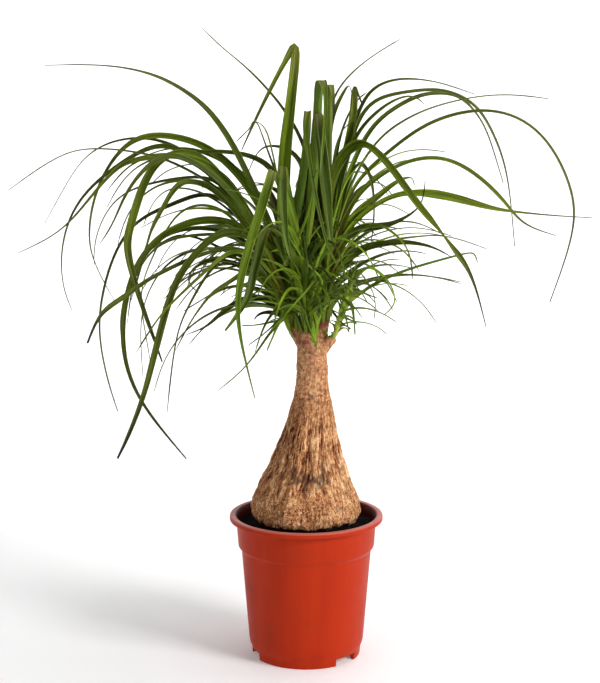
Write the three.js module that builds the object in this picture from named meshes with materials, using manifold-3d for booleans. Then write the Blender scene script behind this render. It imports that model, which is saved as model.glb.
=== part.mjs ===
// Potted ponytail palm: a nursery pot, peat, a swollen corky trunk and five leafy heads.
// Millimetres, +Z up. The origin is on the pot's axis, on the surface that it stands on. The front is -Y.
import * as THREE from 'three';
import { mergeVertices } from 'three/addons/utils/BufferGeometryUtils.js';
import Module from 'manifold-3d';

const wasm = await Module();
wasm.setup();

// Driving dimensions: the pot
const POT_HEIGHT = 141;
const RIM_RADIUS = 75;
const LIP_HEIGHT = 5;
const LIP_WIDTH = 6;
const LIP_EDGE = 0.9;
const COLLAR_TOP_RADIUS = 68.6;
const COLLAR_FOOT_RADIUS = 66.7;
const COLLAR_FOOT = 110;
const STEP_RADIUS = 63.6;
const STEP_FOOT = 106;
const BODY_FOOT_RADIUS = 56.5;
const BODY_FOOT = 17;
const FOOT_TOP = 8;
const FOOT_FLARE = 0.8;
const FOOT_RADIUS = 53.1;
const FOOT_WIDTH = 2.8;
const FLOOR_TOP = 9;
const FLOOR_RADIUS = 48;
const WALL = 1.4;
const NOTCH_HEIGHT = 7.5;
const NOTCH_ANGLE = 28;
const NOTCH_DEPTH = 8;
const NOTCH_CENTRES = [47, 167, 287];
const DRAIN_COUNT = 8;
const DRAIN_RADIUS = 4.5;
const DRAIN_CIRCLE = 34;
const POT_SIDES = 40;
const DRAIN_SIDES = 10;

// Driving dimensions: the peat, the trunk and the leaves
const GAP = 0.3;
const SOIL_TOP = 131;
const SOIL_LUMP = 1.6;
const SOIL_TOP_RINGS = [0.94, 0.87, 0.8, 0.72];
const SOIL_WAVES = [{ count: 7, relief: 1, inwards: 40 }, { count: 13, relief: 0.6, inwards: -25 }];
const TRUNK_SIDES = 36;
const TRUNK_UNDERSIDE = 89;
const TRUNK_CROWN = 320;
const STEM_SIDES = 10;
const CORE_STEPS = 3;
const CORE_BULGE = 1.5;
const BLADE_THICKNESS = 1.3;
const NARROWEST_BLADE = 1.5;
const FAN_POINTS = 7;
const GOLDEN_SHARE = 0.618034;
const MERGE_DISTANCE = 1e-4;

// The leaves were drawn from the front, as an eye this far off and this high sees them
const EYE_DISTANCE = 1500;
const EYE_HEIGHT = 553;

const { lerp, smoothstep } = THREE.MathUtils;
const degree = Math.PI / 180;
const vector = (list) => new THREE.Vector3(...list);

// A repeatable run of numbers from 0 to 1
function numbersFrom(seed) {
  const range = 2 ** 32;
  let state = seed;
  return () => {
    state = (state * 1664525 + 1013904223) % range;
    return state / range;
  };
}

function toSolid(geometry) {
  geometry.deleteAttribute('normal');
  geometry.deleteAttribute('uv');
  const merged = mergeVertices(geometry, MERGE_DISTANCE);
  return new wasm.Manifold(new wasm.Mesh({
    numProp: 3,
    vertProperties: new Float32Array(merged.attributes.position.array),
    triVerts: new Uint32Array(merged.index.array),
  }));
}

function pointsToSolid(points, indices) {
  const geometry = new THREE.BufferGeometry().setFromPoints(points);
  geometry.setIndex(indices);
  return toSolid(geometry);
}

function namedMesh(name, solid, color, roughness) {
  const { vertProperties, triVerts } = solid.getMesh();
  const geometry = new THREE.BufferGeometry();
  geometry.setAttribute('position', new THREE.BufferAttribute(new Float32Array(vertProperties), 3));
  geometry.setIndex(new THREE.BufferAttribute(new Uint32Array(triVerts), 1));
  geometry.computeVertexNormals();
  const mesh = new THREE.Mesh(geometry, new THREE.MeshStandardMaterial({ color, roughness, metalness: 0 }));
  mesh.name = name;
  return mesh;
}

// A profile of [radius, height] turned about the vertical axis
function turned(profile) {
  const geometry = new THREE.LatheGeometry(profile.map((point) => new THREE.Vector2(...point)), POT_SIDES);
  geometry.rotateX(Math.PI / 2);
  return toSolid(geometry);
}

// Rings of points joined into a closed skin, with a pole at each end
function ringSkin(rings, startPole, endPole) {
  const sides = rings[0].length;
  const points = [startPole, ...rings.flat(), endPole];
  const at = (ring, side) => 1 + ring * sides + (side % sides);
  const lastPoint = points.length - 1;
  const lastRing = rings.length - 1;
  const indices = [];
  for (let side = 0; side < sides; side += 1) {
    indices.push(0, at(0, side + 1), at(0, side));
    for (let ring = 0; ring < lastRing; ring += 1) {
      indices.push(at(ring, side), at(ring, side + 1), at(ring + 1, side + 1));
      indices.push(at(ring, side), at(ring + 1, side + 1), at(ring + 1, side));
    }
    indices.push(lastPoint, at(lastRing, side), at(lastRing, side + 1));
  }
  return pointsToSolid(points, indices);
}

// The pot: one thin moulding with a flat lip, a collar, a step, a tapering body and a raised floor
function makePot() {
  const lipFoot = POT_HEIGHT - LIP_HEIGHT;
  let pot = turned([
    [0, FLOOR_TOP - WALL],
    [FLOOR_RADIUS - WALL, FLOOR_TOP - WALL],
    [FOOT_RADIUS - FOOT_WIDTH, 0],
    [FOOT_RADIUS, 0],
    [FOOT_RADIUS + FOOT_FLARE, FOOT_TOP],
    [BODY_FOOT_RADIUS - FOOT_FLARE, (BODY_FOOT + FOOT_TOP) / 2],
    [BODY_FOOT_RADIUS, BODY_FOOT],
    [STEP_RADIUS, STEP_FOOT],
    [COLLAR_FOOT_RADIUS, COLLAR_FOOT],
    [COLLAR_TOP_RADIUS, lipFoot],
    [RIM_RADIUS, lipFoot],
    [RIM_RADIUS, POT_HEIGHT - LIP_EDGE],
    [RIM_RADIUS - LIP_EDGE, POT_HEIGHT],
    [RIM_RADIUS - LIP_WIDTH + LIP_EDGE, POT_HEIGHT],
    [RIM_RADIUS - LIP_WIDTH, POT_HEIGHT - LIP_EDGE],
    [COLLAR_TOP_RADIUS - WALL, lipFoot],
    [COLLAR_FOOT_RADIUS - WALL, COLLAR_FOOT + WALL],
    [STEP_RADIUS - WALL, STEP_FOOT + WALL],
    [BODY_FOOT_RADIUS - WALL, BODY_FOOT],
    [FLOOR_RADIUS, FLOOR_TOP],
    [0, FLOOR_TOP],
    [0, FLOOR_TOP - WALL],
  ]);
  const sector = new THREE.Shape();
  const halfNotch = NOTCH_ANGLE / 2 * degree;
  sector.absarc(0, 0, RIM_RADIUS, -halfNotch, halfNotch, false);
  sector.absarc(0, 0, FOOT_RADIUS - NOTCH_DEPTH, halfNotch, -halfNotch, true);
  NOTCH_CENTRES.forEach((fromFront) => {
    const notch = new THREE.ExtrudeGeometry(sector, { depth: NOTCH_HEIGHT * 2, bevelEnabled: false });
    notch.translate(0, 0, -NOTCH_HEIGHT);
    notch.rotateZ((fromFront - 90) * degree);
    pot = pot.subtract(toSolid(notch));
  });
  for (let hole = 0; hole < DRAIN_COUNT; hole += 1) {
    const angle = hole / DRAIN_COUNT * 2 * Math.PI;
    const drill = new THREE.CylinderGeometry(DRAIN_RADIUS, DRAIN_RADIUS, FLOOR_TOP, DRAIN_SIDES);
    drill.rotateX(Math.PI / 2);
    drill.translate(DRAIN_CIRCLE * Math.cos(angle), DRAIN_CIRCLE * Math.sin(angle), FLOOR_TOP);
    pot = pot.subtract(toSolid(drill));
  }
  return pot;
}

// The trunk's outline from the buried underside to the top of the neck: height, radius and sideways lean
const TRUNK_OUTLINE = [
  [92, 14, 0], [100, 28.5, 0], [112, 38, 0], [124, 42, 0], [133, 45.5, -0.5],
  [139, 51.9, -0.6], [143, 53.2, -0.7], [150, 52, -0.8], [157, 49.9, -0.8], [164.5, 47, -0.8],
  [171, 44, -0.8], [178.5, 40.5, -0.6], [185, 37, 0.6], [192.5, 34.2, 1.6], [200, 31.8, 1.8],
  [207.5, 29.4, 2.4], [215, 27.3, 3], [223, 25.4, 3.8], [231, 23.4, 4.7], [239, 21.6, 5.4],
  [248, 19.6, 5.6], [258, 17.8, 5.8], [270, 16.2, 5.7], [282, 14.9, 5.8], [294, 14.2, 5.6],
  [304, 14.2, 5.4], [312, 13.5, 5.8], [317, 10, 6],
];

// Waves of relief round the trunk: how many, how high (mm) and where they start (radians). Those of the
// swollen base drift from side to side on the way up, and the lumps of the neck wind round it.
const BASE_WAVES = [
  { count: 9, relief: 0.9, start: 0, drift: 0.5 },
  { count: 13, relief: 0.63, start: 1.3, drift: -1 },
  { count: 3, relief: 0.9, start: 0.6, drift: 0 },
  { count: 5, relief: 0.7, start: -1.1, drift: 0 },
];
const NECK_WAVES = [{ count: 4, relief: 0.35, pitch: 9 }, { count: 2, relief: 0.25, pitch: 5.5 }];
const DRIFT_PITCH = 23;
const BASE_FADES_IN = [120, 150];
const BASE_FADES_OUT = [225, 265];

function barkRelief(angle, height) {
  const swell = smoothstep(height, ...BASE_FADES_IN) * (1 - smoothstep(height, ...BASE_FADES_OUT));
  const sideways = Math.sin(height / DRIFT_PITCH);
  const base = BASE_WAVES.reduce((sum, { count, relief, start, drift }) => (
    sum + relief * Math.sin(count * angle + start + drift * sideways)
  ), 0);
  const neck = NECK_WAVES.reduce((sum, { count, relief, pitch }) => (
    sum + relief * Math.sin(count * angle + height / pitch)
  ), 0);
  return swell * base + (1 - swell) * neck;
}

// A level ring of points round the axis; its reach and height are worked out from each point's angle
function levelRing(sides, reachAt, heightAt) {
  return Array.from({ length: sides }, (_, side) => {
    const angle = side / sides * 2 * Math.PI;
    const reach = reachAt(angle);
    return new THREE.Vector3(reach * Math.cos(angle), reach * Math.sin(angle), heightAt(angle));
  });
}

// The trunk's skin, grown outwards and downwards by the clearance given
function trunkSkin(clearance) {
  const rings = TRUNK_OUTLINE.map(([height, radius, lean]) => {
    const reachAt = (angle) => radius + barkRelief(angle, height) + clearance;
    const ring = levelRing(TRUNK_SIDES, reachAt, () => height - clearance);
    return ring.map((point) => point.setX(point.x + lean));
  });
  const underside = new THREE.Vector3(0, 0, TRUNK_UNDERSIDE - clearance);
  const crown = new THREE.Vector3(TRUNK_OUTLINE.at(-1)[2], 0, TRUNK_CROWN);
  return ringSkin(rings, underside, crown);
}

// The peat: it fills the pot to below the rim, lumpy on top, with a cup for the trunk's base
function makeSoil() {
  const inset = WALL + GAP;
  const upCollar = (SOIL_TOP - COLLAR_FOOT) / (POT_HEIGHT - LIP_HEIGHT - COLLAR_FOOT);
  const brim = lerp(COLLAR_FOOT_RADIUS, COLLAR_TOP_RADIUS, upCollar) - inset;
  const outline = [
    [FLOOR_RADIUS - GAP, FLOOR_TOP + GAP],
    [BODY_FOOT_RADIUS - inset, BODY_FOOT],
    [STEP_RADIUS - inset, STEP_FOOT + inset],
    [COLLAR_FOOT_RADIUS - inset, COLLAR_FOOT + inset],
    [brim, SOIL_TOP],
  ];
  const wallRings = outline.map(([radius, height]) => levelRing(POT_SIDES, () => radius, () => height));
  const topRings = SOIL_TOP_RINGS.map((share) => levelRing(POT_SIDES, () => share * brim, (angle) => (
    SOIL_WAVES.reduce((height, { count, relief, inwards }) => (
      height + SOIL_LUMP * relief * Math.sin(count * angle + inwards * share)
    ), SOIL_TOP)
  )));
  const foot = new THREE.Vector3(0, 0, FLOOR_TOP + GAP);
  const middle = new THREE.Vector3(0, 0, SOIL_TOP);
  return ringSkin([...wallRings, ...topRings], foot, middle).subtract(trunkSkin(GAP));
}

// Each head: where its stub leaves the neck, where the stub ends and where the leafy core ends, with the
// radii at these three places
const HEADS = {
  left: { from: [3, 0, 304], seat: [-13, 0, 327], top: [-20, -1, 392], radii: [9, 6.6, 7] },
  front: { from: [5, -3, 304], seat: [1, -11, 325], top: [-3, -17, 392], radii: [8, 6.6, 7] },
  right: { from: [10, 2, 306], seat: [17, 3, 333], top: [22, 4, 398], radii: [8, 6, 7] },
  back: { from: [6, 4, 304], seat: [5, 15, 326], top: [4, 27, 396], radii: [8, 6.6, 7] },
  side: { from: [12, -3, 301], seat: [27, -6, 317], top: [44, -9, 374], radii: [6.5, 4, 2.6] },
};

function ringAround(centre, radius, facing) {
  const turn = new THREE.Quaternion().setFromUnitVectors(new THREE.Vector3(0, 0, 1), facing);
  const ring = levelRing(STEM_SIDES, () => radius, () => 0);
  return ring.map((point) => point.applyQuaternion(turn).add(centre));
}

// A stub of bark on the neck; its end is square to the core that stands on it
function stub({ from, seat, top, radii }) {
  const start = vector(from);
  const end = vector(seat);
  const rings = [
    ringAround(start, radii[0], end.clone().sub(start).normalize()),
    ringAround(end, radii[1], vector(top).sub(end).normalize()),
  ];
  return ringSkin(rings, start, end);
}

// The green core of a head: leaf bases packed round a shoot, which the leaves stand out of
function core({ seat, top, radii }) {
  const end = vector(top);
  const upwards = end.clone().sub(vector(seat)).normalize();
  const start = vector(seat).addScaledVector(upwards, GAP);
  const rings = Array.from({ length: CORE_STEPS + 1 }, (_, step) => {
    const share = step / CORE_STEPS;
    const radius = lerp(radii[1], radii[2], share) + CORE_BULGE * Math.sin(Math.PI * share);
    return ringAround(start.clone().lerp(end, share), radius, upwards);
  });
  return ringSkin(rings, start, end.addScaledVector(upwards, radii[2]));
}

function makeTrunk() {
  return Object.values(HEADS).reduce((trunk, head) => trunk.add(stub(head)), trunkSkin(0));
}

// Leaves drawn by hand from the front. Each has its full width or its widths at the points, how far its face
// turns to the front (degrees, spread evenly from root to tip), its depth behind the pot's axis (likewise, mm)
// and its path: across and up, mm, where the eye sees it against the plane of the pot's axis.
const LEAVES = {
  left: [
    [10, [60, 75, 25], [-3, -33, -78], [[-20, 384], [-31, 414], [-48, 452], [-67, 495], [-85, 523],
      [-102, 542], [-131, 560], [-154, 568], [-189, 575], [-245, 574]]],
    [[8, 12, 13, 12, 10, 9, 5, 4, 3, 2, 1], [88, 88, 80], [0, -3, -4, 6], [[-20, 380], [-22, 419],
      [-21, 476], [-18, 510], [-14, 542], [-10, 590], [-21, 575], [-34, 551], [-48, 523], [-54, 510],
      [-61, 495]]],
    [10, [50, 75, 40], [3, 38, 70], [[-21, 378], [-42, 443], [-72, 481], [-102, 503], [-147, 511],
      [-175, 497], [-200, 458], [-207, 418], [-205, 391], [-184, 351]]],
    [9, [50, 75, 40], [8, 53, 91], [[-20, 374], [-44, 444], [-53, 462], [-66, 478], [-88, 490],
      [-112, 497], [-136, 496], [-160, 486]]],
    [9, [60, 80, 60], [0, -12, -30], [[-21, 366], [-41, 410], [-62, 440], [-76, 457], [-89, 470],
      [-103, 481], [-122, 489], [-148, 490], [-172, 478], [-190, 455]]],
    [6, [40, 50, 20], [6, 68, 108], [[-20, 382], [-64, 444], [-107, 488], [-132, 502], [-158, 507],
      [-188, 502], [-210, 488], [-225, 468], [-249, 426]]],
    [5, [30, 30, 20], [-6, -45, -38], [[-20, 376], [-64, 440], [-91, 464], [-127, 484], [-155, 492],
      [-185, 496], [-209, 496], [-236, 490], [-283, 457]]],
    [8, [50, 65, 30], [1, 20, 23], [[-21, 372], [-60, 440], [-107, 489], [-134, 500], [-159, 493],
      [-193, 470], [-220, 443], [-234, 404], [-234, 366], [-225, 342]]],
    [10, [60, 70, 30], [-2, -24, -39], [[-21, 370], [-53, 434], [-85, 475], [-103, 485], [-130, 491],
      [-165, 485], [-183, 476], [-213, 440], [-237, 415], [-276, 397]]],
    [8, [60, 60, 60], [2, 12, 47], [[-19, 386], [-20, 440], [-28, 474], [-51, 490], [-85, 494],
      [-120, 492], [-148, 486], [-172, 471], [-190, 440]]],
    [9, [50, 65, 50], [-5, -50, -93], [[-21, 364], [-50, 425], [-85, 470], [-120, 490], [-138, 488],
      [-153, 478], [-173, 453], [-182, 428], [-197, 406]]],
    [[8, 9, 8, 6, 7, 8, 8, 8, 7, 5, 4, 2], [55, 75, 70, 30], [-1, -15, -51, -63], [[-21, 360],
      [-55, 430], [-90, 483], [-114, 494], [-138, 488], [-155, 465], [-166, 428], [-171, 412],
      [-170, 391], [-158, 348], [-148, 320], [-139, 292]]],
    [6, [40, 50, 30], [5, 48, 51], [[-21, 368], [-63, 443], [-85, 465], [-103, 470], [-136, 466],
      [-166, 458], [-187, 443], [-202, 412], [-203, 386]]],
    [6, [40, 50, 30], [1, -5, -17], [[-21, 365], [-60, 436], [-85, 460], [-109, 467], [-136, 464],
      [-156, 452], [-172, 432], [-180, 405]]],
    [8, [50, 70, 40], [-4, -41, -78], [[-21, 356], [-58, 425], [-90, 460], [-115, 466], [-126, 459],
      [-136, 441], [-144, 429], [-151, 410], [-158, 382], [-168, 352]]],
    [5, [50, 60, 40, 20], [3, 19, 33, 33], [[-21, 362], [-55, 430], [-88, 453], [-109, 451], [-139, 438],
      [-164, 426], [-185, 394], [-197, 350], [-200, 315], [-191, 269], [-183, 243]]],
    [[8, 9, 8, 8, 7, 7, 6, 6, 6, 5, 4, 2], [60, 75, 50, 20], [-1, -14, -28, -39], [[-21, 352],
      [-36, 396], [-60, 423], [-95, 430], [-118, 424], [-136, 415], [-152, 400], [-168, 374],
      [-178, 323], [-171, 274], [-148, 235], [-117, 196]]],
    [6, [50, 60, 30], [3, 13, 17], [[-21, 348], [-34, 385], [-57, 408], [-82, 419], [-110, 421],
      [-132, 415], [-150, 402], [-166, 380], [-178, 345], [-179, 318], [-175, 300]]],
    [[9, 10, 9, 8, 7, 7, 7, 7, 6, 5, 4, 2], [60, 80, 75, 40], [-4, -46, -78, -94], [[-21, 344],
      [-34, 392], [-55, 415], [-80, 418], [-98, 406], [-117, 384], [-131, 358], [-143, 313],
      [-151, 284], [-157, 259], [-173, 218], [-184, 196]]],
    [6, [40, 75, 40], [-6, -76, -131], [[-20, 350], [-38, 388], [-66, 400], [-81, 394], [-102, 375],
      [-132, 347], [-147, 328], [-164, 301]]],
    [8, [30, 60, 60], [2, 23, 31], [[-21, 340], [-40, 372], [-64, 385], [-81, 390], [-95, 389],
      [-107, 383], [-113, 374], [-111, 366], [-103, 359]]],
    [5, [40, 60, 30], [5, 42, 58], [[-21, 346], [-45, 385], [-80, 402], [-109, 400], [-130, 389],
      [-146, 371], [-157, 345], [-160, 318], [-158, 276]]],
    [5, [40, 60, 40], [-2, -31, -60], [[-20, 342], [-40, 384], [-70, 398], [-85, 388], [-100, 370],
      [-112, 347], [-122, 328], [-129, 294], [-135, 242]]],
    [7, [60, 80, 30], [-4, -49, -81], [[-19, 340], [-34, 372], [-54, 382], [-64, 376], [-78, 367],
      [-91, 359], [-102, 344], [-112, 330], [-126, 303]]],
    [6, [30, 50, 30], [-1, -15, -38], [[-20, 338], [-42, 362], [-63, 366], [-83, 362], [-95, 355],
      [-118, 341]]],
    [10, [40, 70, 40], [2, 0, -4], [[-20, 334], [-33, 350], [-52, 355], [-71, 348], [-88, 333],
      [-97, 325], [-116, 318]]],
    [7, [50, 60], [-1, -6], [[-19, 332], [-29, 339], [-40, 340], [-47, 337], [-50, 333]]],
    [[6, 6, 5, 4, 4, 4, 4, 5, 5, 3, 2], [50, 75, 60], [-4, -60, -115], [[-21, 350], [-45, 392],
      [-70, 402], [-90, 399], [-113, 391], [-138, 379], [-155, 370], [-173, 356], [-191, 345],
      [-202, 332], [-211, 310]]],
    [5, [50, 60, 40], [2, -20, -40], [[-21, 360], [-60, 432], [-90, 462], [-110, 466], [-122, 460],
      [-131, 448], [-140, 432], [-147, 419], [-154, 402], [-158, 384], [-166, 358]]],
  ],
  front: [
    [[9, 10, 10, 9, 9, 9, 8, 7, 5, 3, 1], [10, 30, 30, 40], [-16, -60, -120, -200], [[-3, 384],
      [-14, 425], [-25, 460], [-31, 475], [-37, 460], [-44, 438], [-56, 401], [-64, 370], [-67, 342],
      [-63, 308], [-50, 256]]],
    [[6, 8, 8, 8, 8, 8, 6, 3], [0, 10], [-15, -40, -70, -85], [[-3, 386], [-13, 430], [-20, 465],
      [-22, 479], [-22, 462], [-22, 440], [-20, 415], [-15, 392]]],
    [[8, 9, 9, 9, 9, 8, 6, 2], [10, 10, 20], [-20, -60, -100, -130], [[-3, 378], [-20, 405], [-35, 421],
      [-42, 408], [-48, 386], [-53, 362], [-60, 345], [-78, 322]]],
    [[7, 8, 8, 8, 6, 3], [0, 10], [-18, -50, -80], [[-2, 372], [-18, 405], [-29, 423], [-27, 410],
      [-22, 395], [-19, 385]]],
    [[7, 10, 10, 9, 9, 11, 5, 4, 3, 2], [0, 0], [-17, -26, -36, -46, -60], [[-2, 388], [4, 430],
      [9, 480], [11, 520], [12, 545], [14, 560], [18, 547], [18, 530], [16, 505], [13, 470]]],
    [[6, 9, 11, 11, 9, 8, 7, 5, 4, 3, 3, 2, 1], [0, 10], [-17, -24, -45, -75, -110], [[-4, 366],
      [-12, 392], [-12, 419], [-5, 450], [0, 486], [2, 530], [-1, 518], [0, 500], [5, 472], [14, 425],
      [22, 400], [30, 384], [48, 366]]],
    [[8, 10, 11, 10, 10, 11, 11, 8, 3], [0, 10], [-17, -30, -50, -70], [[-1, 388], [6, 450], [10, 500],
      [11, 529], [12, 512], [15, 490], [18, 462], [21, 432], [24, 405]]],
    [7, [30, 30, 20], [-15, -22, -40, -45], [[-1, 344], [-15, 338], [-24, 331], [-39, 315], [-56, 287],
      [-86, 263]]],
    [6, [30, 30], [-15, -24, -30], [[-1, 348], [-12, 345], [-23, 336], [-37, 321], [-57, 307]]],
    [6, [30, 30], [-15, -26, -34], [[0, 352], [-12, 349], [-24, 336], [-31, 318], [-38, 303]]],
    [6, [10, 10], [-17, -24, -26], [[-1, 345], [6, 343], [10, 332], [11, 322], [9, 302]]],
  ],
  right: [
    [9, [60, 50, 20], [4, -10, -34], [[21, 394], [28, 440], [38, 490], [51, 536], [65, 554], [84, 561],
      [102, 561], [124, 559], [159, 547]]],
    [9, [60, 60, 30], [4, 30, 54], [[21, 394], [30, 450], [42, 505], [57, 538], [81, 547], [109, 551],
      [128, 551], [148, 544], [164, 532], [176, 511], [187, 486], [194, 452], [199, 404]]],
    [9, [60, 60, 30], [4, 46, 78], [[21, 392], [32, 450], [54, 507], [75, 529], [102, 545], [120, 548],
      [138, 547], [152, 539], [167, 521], [176, 498], [187, 464]]],
    [8, [60, 50, 20], [3, -18, -34], [[21, 390], [30, 450], [43, 500], [57, 521], [75, 537], [91, 545],
      [103, 545], [111, 538]]],
    [5, [40, 30, 20], [-1, -47, -95], [[22, 388], [38, 455], [63, 500], [85, 518], [111, 533], [148, 543],
      [187, 548], [228, 543]]],
    [[6, 6, 6, 6, 5, 5, 4, 4, 4, 4, 4, 3, 2], [60, 60, 40, 20], [3, 14, 22, 14], [[22, 386], [36, 445],
      [56, 474], [78, 493], [103, 513], [128, 525], [157, 532], [192, 530], [229, 506], [252, 458],
      [255, 433], [252, 404], [234, 350]]],
    [[6, 6, 5, 4, 4, 4, 4, 4, 4, 3, 2, 1], [60, 70, 70, 30], [2, -24, -41], [[22, 384], [40, 440],
      [61, 464], [85, 480], [110, 488], [131, 487], [149, 480], [169, 466], [187, 448], [199, 433],
      [212, 422], [238, 414]]],
    [[5, 5, 5, 5, 6, 9, 8, 5, 3, 2, 1], [60, 80, 80, 20], [3, 10, 20], [[22, 382], [38, 418],
      [58, 438], [81, 452], [100, 455], [121, 454], [149, 448], [176, 440], [194, 437], [231, 433],
      [272, 431]]],
    [[9, 14, 15, 12, 6, 7, 7, 7, 6, 2, 6, 5, 1], [60, 70, 70, 60, 30], [2, -20, -50, -75, -85],
      [[21, 388], [21, 455], [36, 489], [48, 499], [58, 501], [73, 488], [89, 468], [103, 448],
      [118, 430], [130, 416], [146, 394], [160, 374], [173, 326]]],
    [7, [60, 60, 40], [1, -20, -36], [[22, 386], [32, 430], [42, 468], [50, 482], [57, 478], [62, 468],
      [64, 452], [65, 433], [62, 408]]],
    [11, [50, 80, 70], [4, 4, -34], [[21, 366], [40, 390], [56, 402], [67, 405], [86, 408], [104, 407],
      [122, 403], [138, 394]]],
    [5, [30, 30, 20], [4, 30, 46], [[22, 370], [50, 400], [80, 409], [100, 412], [118, 414], [140, 413],
      [173, 401]]],
    [[8, 9, 9, 8, 5, 3, 2, 1, 1], [50, 80, 50], [3, -8, -24], [[22, 378], [40, 413], [52, 420],
      [67, 422], [82, 425], [96, 432], [106, 439], [112, 450], [113, 466]]],
    [10, [60, 60, 40], [4, 14, 22], [[22, 380], [40, 430], [63, 446], [76, 458], [88, 466], [99, 469],
      [103, 462]]],
    [5, [40, 40, 30], [3, -50, -82], [[22, 374], [45, 415], [66, 425], [78, 420], [93, 408], [100, 393],
      [102, 372]]],
    [[6, 8, 7, 7, 7, 4, 2], [0, 0], [3, -2, -14], [[21, 396], [21, 450], [22, 500], [22, 540], [23, 556],
      [25, 545], [26, 530]]],
    [[7, 10, 10, 9, 8, 7, 3, 2], [110, 120], [3, 0, -8, -16], [[21, 394], [26, 440], [34, 475],
      [39, 495], [44, 522], [46, 552], [50, 546], [53, 538]]],
    [8, [60, 60, 40], [5, 14, 20], [[21, 392], [19, 450], [21, 510], [26, 531], [34, 547], [40, 555],
      [43, 548]]],
  ],
  back: [
    [6, [30, 40, 20], [21, 35, 60], [[5, 394], [7, 457], [-3, 503], [-21, 532], [-34, 549], [-59, 575],
      [-78, 589], [-98, 609]]],
    [5, [20, 20], [21, 40, 60], [[5, 392], [14, 460], [21, 520], [27, 549], [48, 572], [69, 587],
      [88, 598]]],
    [8, [30, 60, 40], [27, 42, 52], [[5, 392], [4, 430], [-2, 472], [-6, 484], [-14, 494], [-25, 498],
      [-38, 499], [-48, 491], [-56, 471]]],
    [5, [20, 30], [27, 40, 48], [[3, 390], [-13, 430], [-27, 468], [-39, 500], [-45, 519], [-48, 521]]],
  ],
  side: [
    [5, [50, 60, 60], [-8, -15, -22], [[38, 346], [55, 360], [67, 368], [95, 381], [131, 391], [156, 398],
      [161, 396], [164, 388]]],
    [4, [40, 60, 30], [-9, -16, -20], [[45, 372], [54, 382], [63, 383], [71, 378], [80, 369], [85, 356],
      [84, 346], [74, 337]]],
    [4, [30, 40], [-9, -6, 2], [[44, 370], [50, 379], [58, 370], [64, 360], [67, 348], [65, 332]]],
    [6, [30, 30], [-9, -12, -14], [[42, 362], [48, 362], [58, 357], [68, 354]]],
    [5, [20, 20], [-9, -16, -18], [[40, 352], [44, 346], [46, 332], [47, 317]]],
    [5, [30, 30], [-8, -14], [[34, 336], [40, 333], [47, 331]]],
  ],
};

// Leaves placed by rule, so many a head: the compass directions that they fan across (0 is +X, 90 the back),
// how long and how wide they are, and their slopes: at the start, of the inner and the outer ones, and at the
// end, of the stiffest and the limpest ones
const FANS = [
  { head: 'back', count: 34, seed: 11, fan: [50, 130],
    long: [140, 208], wide: [7, 11], slope: [86, 38, -20, -62] },
  { head: 'left', count: 12, seed: 23, fan: [118, 165],
    long: [110, 200], wide: [7, 10], slope: [80, 30, -10, -60] },
  { head: 'front', count: 20, seed: 37, fan: [230, 315],
    long: [80, 170], wide: [5, 9], slope: [82, 35, 10, -75] },
  { head: 'right', count: 12, seed: 41, fan: [22, 68],
    long: [100, 180], wide: [7, 10], slope: [80, 30, -10, -55] },
  { head: 'side', count: 7, seed: 53, fan: [-75, 10],
    long: [40, 80], wide: [4, 6], slope: [75, 20, 0, -65] },
];

// How far the rule scatters these leaves: their compass directions (a share of the fan), first slopes, bends,
// sideways curves (radians) and twists, with the share of the twist at the root; and where their roots are
// on the core, from the inner leaf's to the outer one's, as shares of its length from the top
const SCATTER = {
  compass: 0.1, slope: 10, bend: [0.7, 1.6], sway: 0.5, twist: 70, rootTwist: 0.2, roots: [0.06, 0.86],
};

// How a blade's shape runs: its width at the root as a share of its full width, where it is full, the power
// that tapers it, how much thinner the tip is, the share of its thickness above its line, and how early a
// drawn leaf opens to its depth
const BLADE = { rootWidth: 0.6, fullFrom: 0.18, taper: 1, thinning: 0.4, aboveLine: 0.3, opening: 0.7 };

// A drawn point, moved along the eye's line to its depth
function seenAt([across, up], depth) {
  const reach = (depth + EYE_DISTANCE) / EYE_DISTANCE;
  return new THREE.Vector3(across * reach, depth, EYE_HEIGHT + (up - EYE_HEIGHT) * reach);
}

// A value taken from an evenly spread list
function spread(values, share) {
  const place = share * (values.length - 1);
  const low = Math.min(Math.floor(place), values.length - 2);
  return lerp(values[low], values[low + 1], place - low);
}

function drawnLeaf([width, turns, depths, path]) {
  const line = path.map((point, index) => (
    seenAt(point, spread(depths, (index / (path.length - 1)) ** BLADE.opening))
  ));
  const sign = line.at(-1).x > line[0].x ? 1 : -1;
  return { width, line, turns: turns.map((turn) => turn * sign) };
}

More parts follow.
